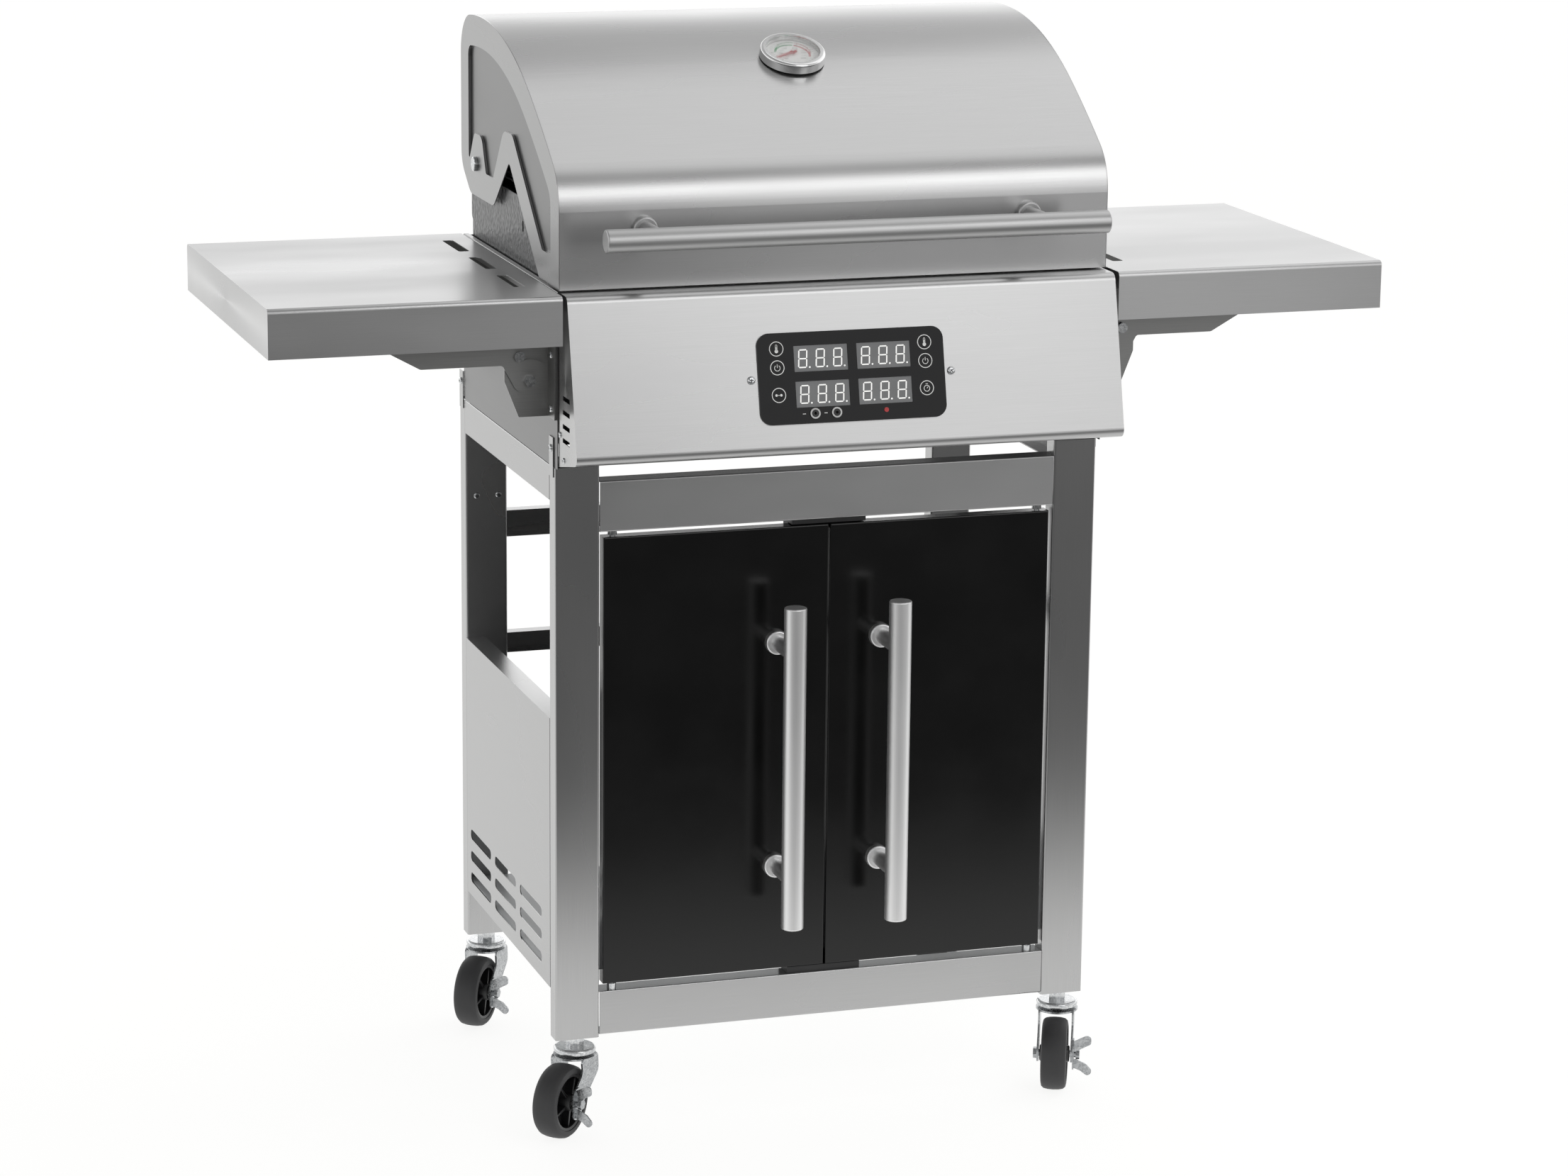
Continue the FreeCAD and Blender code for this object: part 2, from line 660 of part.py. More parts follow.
# warming rack: a wire frame with cross wires, hung between the end plates
rack_half = tub_half_width - 14.0
rack_y = (tub_back - 50.0 - rack_depth, tub_back - 50.0)
rack_frame = [rod(rack_wire, (-rack_half, y, rack_z), (rack_half, y, rack_z)) for y in rack_y]
rack_count = 19
for i in range(rack_count):
    x = -rack_half + 6.0 + i * (2 * rack_half - 12.0) / (rack_count - 1)
    rack_frame.append(rod(0.7 * rack_wire, (x, rack_y[0] - 4.0, rack_z + rack_wire),
                          (x, rack_y[1] + 4.0, rack_z + rack_wire)))
for side in (-1, 1):
    rack_frame.append(block((side * rack_half, side * (rack_half + 4.0)), (rack_y[0] - 5.0, rack_y[1] + 5.0),
                            (rack_z - 4.0, rack_z + 4.0)))
    for y in rack_y:
        rack_frame.append(rod(rack_wire, (side * rack_half, y, rack_z - 60.0), (side * rack_half, y, rack_z)))
        rack_frame.append(block((side * (rack_half - rack_wire), side * (tub_half_width - tub_wall)),
                                (y - 5.0, y + 5.0), (rack_z - 62.0, rack_z - 59.0)))
pieces["warming_rack"] = join(rack_frame)

# ---------------------------------------------------------------- control panel
panel_line = [(tub_front - gap, firebox_top), (panel_top_front_y, firebox_top, panel_bend),
              (panel_foot_front_y, panel_foot_z, panel_bend), (panel_return_y, panel_return_z)]
panel_face = prism(bent_sheet(panel_line, sheet), "x", -panel_half_width, panel_half_width)
cheek_line = [(firebox_front, firebox_top - 0.5), (panel_top_front_y + 0.5, firebox_top - 0.5, panel_bend),
              (panel_foot_front_y + 0.5, panel_foot_z + 0.5, panel_bend),
              (firebox_front, panel_return_z + 2.0)]
slope = Vector(0, panel_top_front_y - panel_foot_front_y, firebox_top - panel_foot_z)
slope_angle = math.degrees(math.atan2(slope.z, slope.y))
slope_frame = Placement(Vector(0, panel_foot_front_y, panel_foot_z), Rotation(Vector(1, 0, 0), slope_angle))
cheek_vents = []
for i in range(cheek_vent_count):
    low = panel_foot_z + cheek_vent_rise + cheek_vent_pitch * i - 0.5 * cheek_vent_height
    high = low + cheek_vent_height
    cheek_vents.append([(cheek_vent_y[0], low, 0.6), (cheek_vent_y[1], low, 0.6),
                        (cheek_vent_y[1], high, 0.6), (cheek_vent_y[0], high, 0.6)])
cheek = prism(cheek_line, "x", -panel_half_width, -panel_half_width + sheet, cheek_vents)


def on_slope(shape):
    """Move a shape from the panel's own frame (x across, y up the slope, z outwards)."""
    placed = shape.copy()
    placed.Placement = slope_frame.multiply(placed.Placement)
    return placed


jack_v = display_centre_v + jack_offset
window_top_v = display_centre_v + window_top_offset
window_centres = [(side * 0.5 * window_pitch_x + window_shift_x, window_top_v - row * window_pitch_v)
                  for row in range(2) for side in (-1, 1)]
display_v = (display_centre_v - 0.5 * display_height, display_centre_v + 0.5 * display_height)
cut_half = 0.5 * display_width - display_border
cut_v = (min(display_v[0] + 0.5 * display_border, jack_v - jack_body_radius + 0.5), display_v[1] - 6.0)
cutout = [(-cut_half, cut_v[0], 3.0), (cut_half, cut_v[0], 3.0), (cut_half, cut_v[1], 3.0),
          (-cut_half, cut_v[1], 3.0)]
panel_cut = on_slope(prism(cutout, "z", -4.0, 4.0))
pieces["control_panel"] = join([panel_face, cheek, mirrored(cheek)]).cut(panel_cut)


def rectangle(centre, width, height, radius):
    x, v = centre
    a, b = 0.5 * width, 0.5 * height
    return [(x - a, v - b, radius), (x + a, v - b, radius), (x + a, v + b, radius), (x - a, v + b, radius)]


display_outline = rectangle((0.0, display_centre_v), display_width, display_height, display_corner)
window_holes = [rectangle(c, window_width, window_height, 0.8) for c in window_centres]
glass = prism(display_outline, "z", 0.0, display_thickness, window_holes)
for x in jack_x:
    glass = glass.cut(rod(jack_body_radius - 1.0 + fit, (x, jack_v, -1.0), (x, jack_v, 4.0)))
glass = glass.cut(rod(lamp_radius + fit, (lamp_x, jack_v, -1.0), (lamp_x, jack_v, 4.0)))
pieces["touch_panel"] = on_slope(glass)

module_gap = 0.2
modules = [prism(rectangle(c, window_width - module_gap, window_height - module_gap, 0.5),
                 "z", -7.0, display_thickness - 0.6) for c in window_centres]
lamp = rod(lamp_radius, (lamp_x, jack_v, -7.0), (lamp_x, jack_v, display_thickness + 0.6))
pieces["led_displays"] = Part.makeCompound([on_slope(s) for s in modules + [lamp]])


def jack(x):
    """Round socket for a probe plug, with a flange on the glass."""
    body = join([rod(jack_body_radius - 1.0, (x, jack_v, -7.0), (x, jack_v, display_thickness)),
                 rod(jack_body_radius, (x, jack_v, display_thickness), (x, jack_v, display_thickness + 1.6))])
    return body.cut(rod(jack_radius, (x, jack_v, -5.0), (x, jack_v, display_thickness + 3.0)))


pieces["probe_jacks"] = Part.makeCompound([on_slope(jack(x)) for x in jack_x])

board = prism(rectangle((0.0, display_centre_v), display_width - 27.0, display_height - 16.6, 3.0),
              "z", -8.6, -7.0)
relay = block((20.0, 60.0), (display_centre_v - 12.0, display_centre_v + 16.0), (-26.0, -8.6))
transformer = block((-60.0, -16.0), (display_centre_v - 16.0, display_centre_v + 18.0), (-32.0, -8.6))
pieces["control_board"] = on_slope(join([board, relay, transformer]))

# ---------------------------------------------------------------- mains cable gland
gland_base = firebox_back
gland_body = join([hex_prism(1.9 * gland_radius, (gland_x, gland_base, gland_z), (gland_x, gland_base + 7.0, gland_z)),
                   rod(0.8 * gland_radius, (gland_x, gland_base, gland_z), (gland_x, gland_base + 12.0, gland_z)),
                   rod(0.92 * gland_radius, (gland_x, gland_base + 9.0, gland_z), (gland_x, gland_base + 18.0, gland_z)),
                   rod(gland_radius - 3.3, (gland_x, gland_base - 8.0, gland_z), (gland_x, gland_base, gland_z))])
pieces["mains_gland"] = gland_body.cut(rod(gland_bore, (gland_x, gland_base - 10, gland_z),
                                           (gland_x, gland_base + 20, gland_z)))
gland_span = (gland_base - 8.0, gland_base + 18.0)

# ---------------------------------------------------------------- hood


def hood_depth(bends):
    """Run from front to back of the arcs that bend the hood's sheet over."""
    depth, heading = 0.0, 90.0
    for radius, turn in bends:
        depth += radius * (math.sin(math.radians(heading)) - math.sin(math.radians(heading - turn)))
        heading -= turn
    return depth


hood_scale = (hood_back_y - hood_front_y) / hood_depth(hood_bends)
hood_arcs = [(radius * hood_scale, turn) for radius, turn in hood_bends]


def hood_path(inset, x, bottom, back_bottom):
    """Edges of the hood's side profile, set in from the outer face, from front to back."""
    y, z, heading = hood_front_y + inset, bottom, 90.0
    edges = [Part.makeLine(Vector(x, y, z), Vector(x, y, hood_bend_z))]
    z = hood_bend_z
    for radius, turn in hood_arcs:
        r = radius - inset
        centre_y = y + r * math.sin(math.radians(heading))
        centre_z = z - r * math.cos(math.radians(heading))

        def at(angle):
            return Vector(x, centre_y - r * math.sin(math.radians(angle)),
                          centre_z + r * math.cos(math.radians(angle)))

        edges.append(Part.Arc(at(heading), at(heading - 0.5 * turn), at(heading - turn)).toShape())
        heading -= turn
        y, z = at(heading).y, at(heading).z
    edges.append(Part.makeLine(Vector(x, y, z), Vector(x, y, back_bottom)))
    return edges, y


def closed_face(edges, closing):
    """Face bounded by a path and a rounded line of points from its end back to its start."""
    return Part.Face(Part.Wire(edges + closing))


def rounded_run(points, x):
    """Edges along an open line of points in the plane of x, with rounded corners."""
    place = placer("x", x)
    spans = round_corners(points)
    spans[0] = (Vector(points[0][0], points[0][1], 0), None, Vector(points[0][0], points[0][1], 0))
    spans[-1] = (Vector(points[-1][0], points[-1][1], 0), None, Vector(points[-1][0], points[-1][1], 0))
    edges = []
    for (s0, m0, e0), (s1, m1, e1) in zip(spans, spans[1:]):
        edges.append(Part.makeLine(place(e0), place(s1)))
        if m1 is not None:
            edges.append(Part.Arc(place(s1), place(m1), place(e1)).toShape())
    return edges


shell_half = hood_half_width - sheet
outer_path, wrap_back_y = hood_path(0.0, -shell_half, hood_bottom, hood_back_bottom)
inner_path, inner_back_y = hood_path(sheet, -shell_half, hood_bottom, hood_back_bottom)
caps = [Part.makeLine(Vector(-shell_half, wrap_back_y, hood_back_bottom),
                      Vector(-shell_half, inner_back_y, hood_back_bottom)),
        Part.makeLine(Vector(-shell_half, hood_front_y + sheet, hood_bottom),
                      Vector(-shell_half, hood_front_y, hood_bottom))]
wrap = Part.Face(Part.Wire(outer_path + [caps[0]] + inner_path[::-1] + [caps[1]]))
wrap = wrap.extrude(Vector(2 * shell_half, 0, 0))
hem = block((-shell_half, shell_half), (hood_front_y, hood_front_y + hood_hem),
            (hood_bottom, hood_bottom + sheet))

# temperature dial on the sloping top, square to the sheet there
plumb = Part.makeLine(Vector(-shell_half, dial_y, hood_bend_z), Vector(-shell_half, dial_y, hood_bend_z + 500))
dial_z = plumb.distToShape(Part.Wire(outer_path))[1][0][0].z
beside = Part.makeLine(Vector(-shell_half, dial_y + 1, hood_bend_z), Vector(-shell_half, dial_y + 1, hood_bend_z + 500))
dial_tilt = math.degrees(math.atan(beside.distToShape(Part.Wire(outer_path))[1][0][0].z - dial_z))
dial_frame = Placement(Vector(0, dial_y, dial_z), Rotation(Vector(1, 0, 0), dial_tilt))


def on_dial(shape):
    """Move a shape from the dial's own frame (x right, y up the hood, z outwards)."""
    placed = shape.copy()
    placed.Placement = dial_frame.multiply(placed.Placement)
    return placed


stem_radius = 4.0
stem_hole = on_dial(rod(stem_radius + 0.5, (0, 0, -20), (0, 0, 20)))
pieces["hood_shell"] = join([wrap, hem]).cut(stem_hole)

end_wall_back = hood_pivot_z + 30.0


def hood_end():
    """Left end plate of the hood: notched lower edge and an embossed panel."""
    x = -hood_half_width
    path, back_y = hood_path(0.0, x, hood_bottom, end_wall_back)
    py, pz = hood_pivot_y, hood_pivot_z
    lower = [(back_y, end_wall_back), (back_y, pz - 6.0, 30.0), (py + 25.5, pz - 35.0, 25.0),
             (py - 74.5, pz - 35.0, 20.0), (py - 141.5, pz + 21.0, 6.0),
             (hood_front_y + 77.0, hood_bottom, 4.0), (hood_front_y, hood_bottom)]
    plate = closed_face(path, rounded_run(lower, x)).extrude(Vector(sheet, 0, 0))

    panel_low = hood_bottom + emboss_rise
    panel_back_low = pz + 16.0
    panel_path, panel_back_y = hood_path(emboss_inset, x, panel_low, panel_back_low)
    wave = [(panel_back_y, panel_back_low), (panel_back_y, pz - 6.0, 4.0), (py + 7.5, pz + 32.0, 10.0),
            (py - 23.5, pz + 32.0, 14.0), (py - 41.5, pz - 6.0, 6.0), (py - 73.5, pz - 6.0, 6.0),
            (py - 118.5, pz + 51.0, 22.0), (py - 154.5, pz + 51.0, 14.0),
            (hood_front_y + 67.0, panel_low, 6.0), (hood_front_y + emboss_inset, panel_low)]
    panel_wire = Part.Wire(panel_path + rounded_run(wave, x))
    outer = Part.Face(panel_wire)
    inner = Part.Face(panel_wire.makeOffset2D(-sheet))
    dish = outer.extrude(Vector(emboss_depth + sheet, 0, 0)).cut(inner.extrude(Vector(emboss_depth, 0, 0)))
    plate = plate.cut(outer.extrude(Vector(sheet, 0, 0)))
    plate = join([plate, dish])
    bore = rod(hood_pivot_radius + fit, (x - 5, hood_pivot_y, hood_pivot_z), (x + 5, hood_pivot_y, hood_pivot_z))
    return plate.cut(bore)


pieces["hood_end_left"] = hood_end()
pieces["hood_end_right"] = mirrored(hood_end())

bar_y = hood_front_y - hood_handle_reach
half = 0.5 * hood_handle_length
hood_posts = [(side * 0.5 * hood_post_spacing, bar_y, hood_handle_z) for side in (-1, 1)]
pieces["hood_handle"] = handle((-half, bar_y, hood_handle_z), (half, bar_y, hood_handle_z),
                               hood_posts, hood_front_y)


def pivot_bolt():
    """Shoulder bolt and spacer bush that carry the left end of the hood."""
    start = -tub_half_width + 6.0
    head_face = -hood_half_width - gap
    shank = rod(hood_pivot_radius, (start, hood_pivot_y, hood_pivot_z), (head_face, hood_pivot_y, hood_pivot_z))
    head = rod(pivot_head_radius, (head_face, hood_pivot_y, hood_pivot_z), (head_face - 4.0, hood_pivot_y, hood_pivot_z))
    head = head.makeFillet(1.6, [e for e in head.Edges if e.Closed and e.CenterOfMass.x < head_face - 3])
    bush = rod(pivot_bush_radius, (-tub_half_width - tub_wall, hood_pivot_y, hood_pivot_z),
               (-hood_half_width + sheet + gap, hood_pivot_y, hood_pivot_z))
    nut = hex_prism(13.0, (-tub_half_width, hood_pivot_y, hood_pivot_z), (start, hood_pivot_y, hood_pivot_z))
    return join([shank, head, bush, nut])


pieces["hood_pivot_bolts"] = Part.makeCompound([pivot_bolt(), mirrored(pivot_bolt())])

# dial case: bezel ring, back plate on the hood and the probe stem inside
base_gap = 1.2
bezel = rod(bezel_radius, (0, 0, base_gap), (0, 0, bezel_height))
bezel = bezel.makeFillet(3.0, [e for e in bezel.Edges if e.Closed and e.CenterOfMass.z > bezel_height - 1])
bezel = bezel.cut(rod(bezel_radius - 6.0, (0, 0, bezel_height - 7.0), (0, 0, bezel_height + 1)))
probe = rod(stem_radius, (0, 0, -42.0), (0, 0, base_gap + 2.0))
needle_pin = rod(0.8, (0, 0, bezel_height - 8.0), (0, 0, bezel_height - 3.2))
pieces["thermometer_case"] = on_dial(join([bezel, probe, needle_pin]))
pieces["thermometer_lens"] = on_dial(rod(bezel_radius - 6.1, (0, 0, bezel_height - 2.6), (0, 0, bezel_height - 1.2)))

needle_z = (bezel_height - 5.2, bezel_height - 4.2)
needle_angle = 205.0
needle = prism([(-6.0, -1.2, 0.4), (0.0, -1.6), (24.0, -0.4, 0.2), (24.0, 0.4, 0.2), (0.0, 1.6), (-6.0, 1.2, 0.4)],
               "z", needle_z[0], needle_z[1])
needle = join([needle, rod(3.0, (0, 0, needle_z[0]), (0, 0, needle_z[1]))])
needle = needle.cut(rod(0.8 + fit, (0, 0, 0), (0, 0, bezel_height)))
needle.rotate(Vector(0, 0, 0), Vector(0, 0, 1), needle_angle)
pieces["thermometer_needle"] = on_dial(needle)

# ---------------------------------------------------------------- side shelves
shelf_y = (shelf_front, shelf_back)
shelf_bottom = shelf_top - shelf_skirt
slots_middle_y = 0.5 * (shelf_front + shelf_back) + tool_slot_shift


def pan_section(inset, bottom):
    radius = max(shelf_edge_radius - inset, 0.5)
    return [(shelf_y[0] + inset, bottom), (shelf_y[1] - inset, bottom),
            (shelf_y[1] - inset, shelf_top - inset, radius), (shelf_y[0] + inset, shelf_top - inset, radius)]


def shelf():
    """Left shelf: a folded pan open below, with a shallow inner skirt and slots for tools."""
    pan = prism(pan_section(0.0, shelf_bottom), "x", -shelf_outer, -shelf_inner)
    pan = pan.cut(prism(pan_section(sheet, shelf_bottom - 1.0), "x", -shelf_outer + sheet, -shelf_inner - sheet))
    pan = pan.cut(block((-shelf_inner - 2 * sheet, -shelf_inner + sheet), (shelf_y[0] + sheet, shelf_y[1] - sheet),
                        (shelf_bottom - 1.0, shelf_top - shelf_inner_skirt)))
    for i in range(tool_slot_count):
        y = slots_middle_y + (i - 0.5 * (tool_slot_count - 1)) * tool_slot_pitch
        half_x, half_y = 0.5 * tool_slot_width, 0.5 * tool_slot_length
        opening = [(-tool_slot_x - half_x, y - half_y, 3.0), (-tool_slot_x + half_x, y - half_y, 3.0),
                   (-tool_slot_x + half_x, y + half_y, 3.0), (-tool_slot_x - half_x, y + half_y, 3.0)]
        pan = pan.cut(prism(opening, "z", shelf_top - 3 * sheet, shelf_top + 1.0))
    return pan


pieces["shelf_left"] = shelf()
pieces["shelf_right"] = mirrored(shelf())

# folding brackets, drawn at the front left corner: a plate fixed to the firebox and the shelf's arm
arm_y = (shelf_front + bracket_inset, shelf_front + bracket_inset + bracket_plate)
fixed_y = (arm_y[1] + gap, arm_y[1] + gap + bracket_plate)
pivot = (-bracket_pivot_x, bracket_pivot_z)
lock_radius = math.hypot(lock_offset_x, lock_offset_z)
lock_angle = math.degrees(math.atan2(lock_offset_z, -lock_offset_x))
lock_point = (pivot[0] - lock_offset_x, pivot[1] + lock_offset_z)
arm_right = -shelf_inner - 2.2


def rear_copy(shape):
    """The same piece at the back of the shelf."""
    return shape.mirror(Vector(0, slots_middle_y, 0), Vector(0, 1, 0))


def shelf_arm():
    """Arm welded under the shelf: it turns on the pivot bolt, and its slot frees the lock screw."""
    r = arm_pivot_radius
    top = shelf_top - sheet
    shape = [(arm_right, top), (-shelf_outer + arm_tip_inset, top), (-shelf_outer + arm_tip_inset, top - 11.0, 3.0),
             (pivot[0] - 115.0, arm_bottom_z, 6.0), (pivot[0] - 2.6 * r, arm_bottom_z, 4.0),
             (pivot[0] - 1.2 * r, pivot[1] - r, 0.9 * r), (pivot[0] + r, pivot[1] - r, 0.9 * r),
             (arm_right, pivot[1] + r, 4.0)]
    arm = prism(shape, "y", arm_y[0], arm_y[1])
    ring = Part.makeCylinder(lock_radius + lock_slot_half, bracket_plate + 2.0,
                             Vector(pivot[0], arm_y[0] - 1.0, pivot[1]), Vector(0, 1, 0), 360)
    core = Part.makeCylinder(lock_radius - lock_slot_half, bracket_plate + 2.0,
                             Vector(pivot[0], arm_y[0] - 1.0, pivot[1]), Vector(0, 1, 0), 360)
    reach = 2.0 * lock_radius
    ray = Vector(reach * math.cos(math.radians(lock_angle)), 0, reach * math.sin(math.radians(lock_angle)))
    sector = [(pivot[0], pivot[1]), (pivot[0] + reach, pivot[1] + 0.08 * reach),
              (pivot[0] + reach, pivot[1] + reach), (pivot[0] + ray.x, pivot[1] + ray.z)]
    swept = ring.cut(core).common(prism(sector, "y", arm_y[0] - 1.0, arm_y[1] + 1.0))
    end = rod(lock_slot_half, (lock_point[0], arm_y[0] - 1.0, lock_point[1]),
              (lock_point[0], arm_y[1] + 1.0, lock_point[1]))
    hole = rod(bracket_bolt_radius + fit, (pivot[0], arm_y[0] - 1.0, pivot[1]), (pivot[0], arm_y[1] + 1.0, pivot[1]))
    return arm.cut(swept).cut(end).cut(hole)


def support_plate():
    """Bracket screwed to the firebox side, behind the arm."""
    wall_x = -cart_half_width
    inner_x = wall_x - bracket_plate
    low, high = pivot[1] - bracket_half_height, pivot[1] + bracket_half_height
    shape = [(wall_x, low), (pivot[0] - 11.0, low, 2.0), (pivot[0] - 26.0, pivot[1], 3.0),
             (pivot[0] - 26.0, high, 6.0), (wall_x, high)]
    plate = prism(shape, "y", fixed_y[0], fixed_y[1])
    flange = block((inner_x, wall_x), (fixed_y[0] - 26.0, fixed_y[1]), (low, high))
    for x, z, radius in ((pivot[0], pivot[1], bracket_bolt_radius), (lock_point[0], lock_point[1], lock_screw_radius)):
        plate = plate.cut(rod(radius + fit, (x, fixed_y[0] - 1.0, z), (x, fixed_y[1] + 1.0, z)))
    return join([plate, flange])


def bracket_bolts():
    """Pivot bolt with its nut, and the lock screw, both through the fixed plate."""
    x, z = pivot
    front = arm_y[0] - gap
    nut_back = fixed_y[1] + 4.0
    bolt = join([rod(bracket_bolt_radius, (x, front, z), (x, nut_back, z)),
                 hex_prism(bracket_bolt_flats, (x, front - 4.0, z), (x, front, z)),
                 hex_prism(bracket_bolt_flats, (x, fixed_y[1], z), (x, nut_back, z))])
    x, z = lock_point
    screw = join([rod(lock_screw_radius, (x, front, z), (x, nut_back, z)),
                  rod(lock_head_radius, (x, front - 3.5, z), (x, front, z)),
                  hex_prism(10.0, (x, fixed_y[1], z), (x, nut_back, z))])
    return [bolt, screw]


arms = [shelf_arm(), rear_copy(shelf_arm())]
pieces["shelf_arms_left"] = Part.makeCompound(arms)
pieces["shelf_arms_right"] = Part.makeCompound([mirrored(s) for s in arms])
plates = [support_plate(), rear_copy(support_plate())]
pieces["shelf_supports"] = Part.makeCompound(plates + [mirrored(s) for s in plates])
bolts = bracket_bolts() + [rear_copy(s) for s in bracket_bolts()]
pieces["shelf_bolts"] = Part.makeCompound(bolts + [mirrored(s) for s in bolts])

# ---------------------------------------------------------------- grease tray
tray_back = firebox_back + tray_lip
tray_z = (tray_bottom, tray_bottom + tray_height)
tray = block((-tray_half_width, tray_half_width), (tray_front, tray_back - tray_lip + 3.0), tray_z)
tray = tray.cut(block((-tray_half_width + tray_wall, tray_half_width - tray_wall),
                      (tray_front + tray_wall, tray_back - tray_lip + 3.0 - tray_wall),
                      (tray_z[0] + tray_wall, tray_z[1] + 1.0)))
lip = prism(bent_sheet([(tray_back - tray_lip + 3.0, tray_z[1]), (tray_back, tray_z[1], 4.0),
                        (tray_back, tray_z[1] - 9.0)], -tray_wall), "x", -60.0, 60.0)
pieces["grease_tray"] = join([tray, lip])

# ---------------------------------------------------------------- casters
caster_x = 0.5 * (cart_half_width + leg_inner)
caster_places = {"front_left": (-caster_x, 0.5 * leg_depth), "front_right": (caster_x, 0.5 * leg_depth),
                 "rear_left": (-caster_x, cart_depth - 0.5 * leg_depth),
                 "rear_right": (caster_x, cart_depth - 0.5 * leg_depth)}
axle_z = wheel_radius
fork_plate_z = fork_top_z - fork_plate
nut_flats = 17.0


def caster_stem():
    """Bearing cup with its kingpin, the hexagon and the stud that goes up into the leg."""
    cup = rod(race_radius, (0, 0, race_bottom_z), (0, 0, race_top_z))
    cup = cup.makeFillet(2.8, [e for e in cup.Edges if e.Closed])
    hexagon = hex_prism(nut_flats, (0, 0, race_top_z), (0, 0, leg_bottom))
    stud = rod(kingpin_radius, (0, 0, leg_bottom), (0, 0, leg_bottom + 26.0))
    kingpin = rod(kingpin_radius, (0, 0, fork_plate_z - gap), (0, 0, race_bottom_z))
    rivet = rod(kingpin_radius + 2.5, (0, 0, fork_plate_z - gap - 2.5), (0, 0, fork_plate_z - gap))
    return join([cup, hexagon, stud, kingpin, rivet])


def caster_fork():
    """Pressed fork: a round crown, two cheeks swept back to the axle, and the axle bolt."""
    crown = rod(race_radius + 0.5, (0, 0, fork_plate_z), (0, 0, fork_top_z))
    cheek_top = fork_top_z
    r = 9.5
    profile = [(-16.0, cheek_top, 5.0), (-18.0, cheek_top - 20.0, 12.0),
               (wheel_trail - 0.9 * r, axle_z - r, 0.8 * r), (wheel_trail + r, axle_z - r, 0.9 * r),
               (wheel_trail + r, axle_z + 0.6 * r, 6.0), (16.0, cheek_top - 16.0, 12.0), (18.0, cheek_top, 5.0)]
    cheeks = [prism(profile, "y", side * fork_inner, side * (fork_inner + fork_plate)) for side in (-1, 1)]
    shoulders = block((-14.0, 14.0), (-fork_inner - fork_plate, fork_inner + fork_plate), (fork_plate_z, fork_top_z))
    out = fork_inner + fork_plate
    axle = rod(axle_radius, (wheel_trail, -out - 4.0, axle_z), (wheel_trail, out + 8.0, axle_z))
    head = hex_prism(11.0, (wheel_trail, -out - 4.0, axle_z), (wheel_trail, -out, axle_z))
    nut = hex_prism(axle_nut_flats, (wheel_trail, out + 4.0, axle_z), (wheel_trail, out + 8.0, axle_z))
    fork = join([crown, shoulders] + cheeks)
    fork = fork.cut(rod(kingpin_radius + fit, (0, 0, fork_plate_z - 5), (0, 0, fork_top_z + 5)))
    return join([fork, axle, head, nut])


def caster_wheel():
    """Wheel: crowned tyre ring, and a dished hub with a web and spokes."""
    half = 0.5 * wheel_width
    rim = wheel_radius - 9.0
    crown = [(rim, -half), (wheel_radius - 3.0, -half, 3.0), (wheel_radius, -4.0, 30.0), (wheel_radius, 4.0, 30.0),
             (wheel_radius - 3.0, half, 3.0), (rim, half)]
    face = Part.Face(outline(crown, lambda p: Vector(p.x, p.y, 0)))
    tyre = face.revolve(Vector(0, 0, 0), Vector(0, 1, 0), 360)
    barrel = [(rim - 2.5, -half + 1.0), (rim, -half + 1.0), (rim, half - 1.0), (rim - 2.5, half - 1.0)]
    ring = Part.Face(outline(barrel, lambda p: Vector(p.x, p.y, 0))).revolve(Vector(0, 0, 0), Vector(0, 1, 0), 360)
    boss = rod(hub_radius, (0, -fork_inner + 1.0, 0), (0, fork_inner - 1.0, 0))
    web = rod(rim, (0, -1.5, 0), (0, 1.5, 0))
    spokes = []
    for i in range(5):
        spoke = block((0.0, rim - 1.0), (-half + 4.0, half - 4.0), (-1.0, 1.0))
        spoke.rotate(Vector(0, 0, 0), Vector(0, 1, 0), 72.0 * i + 20.0)
        spokes.append(spoke)
    bore = rod(axle_radius + fit, (0, -fork_inner, 0), (0, fork_inner, 0))
    hub = join([ring, boss, web] + spokes).cut(bore)
    wheel = Part.makeCompound([tyre, hub])
    wheel.translate(Vector(wheel_trail, 0, axle_z))
    return wheel


def caster_brake():
    """Two-winged brake lever that rocks on the axle beside the fork."""
    start = fork_inner + fork_plate + gap
    plate = [(-9.0, 17.0, 6.0), (-10.0, -8.0, 6.0), (-6.0, -17.0, 5.0), (9.0, -17.0, 6.0), (10.0, 8.0, 6.0),
             (6.0, 17.0, 5.0)]
    disc = prism(plate, "y", start, start + brake_plate)
    upper = prism([(start, 4.0), (start + 4.0, 4.5), (start + 20.5, 13.5, 3.0), (start + 20.5, 22.5, 4.0),
                   (start + 14.5, 22.5, 4.0), (start, 15.0)], "x", 3.0, 4.8)
    lower = prism([(start, -14.0), (start + 9.0, -17.5, 4.0), (start + 17.0, -23.5, 4.0),
                   (start + 23.0, -18.0, 4.5), (start + 15.0, -9.5, 5.0), (start, -3.0)], "x", 3.0, 4.8)
    lever = join([disc, upper, lower])
    lever = lever.cut(rod(axle_radius + fit, (0, start - 1, 0), (0, start + 30, 0)))
    lever = lever.cut(rod(0.5 * axle_nut_flats / math.cos(math.pi / 6) + gap,
                          (0, start + brake_plate, 0), (0, start + 30, 0)))
    lever.translate(Vector(wheel_trail, 0, axle_z))
    return lever


def placed_caster(shape, name):
    x, y = caster_places[name]
    moved = shape.copy()
    turn = Placement(Vector(x, y, 0), Rotation(Vector(0, 0, 1), caster_headings[name]))
    moved.Placement = turn.multiply(moved.Placement)
    return moved


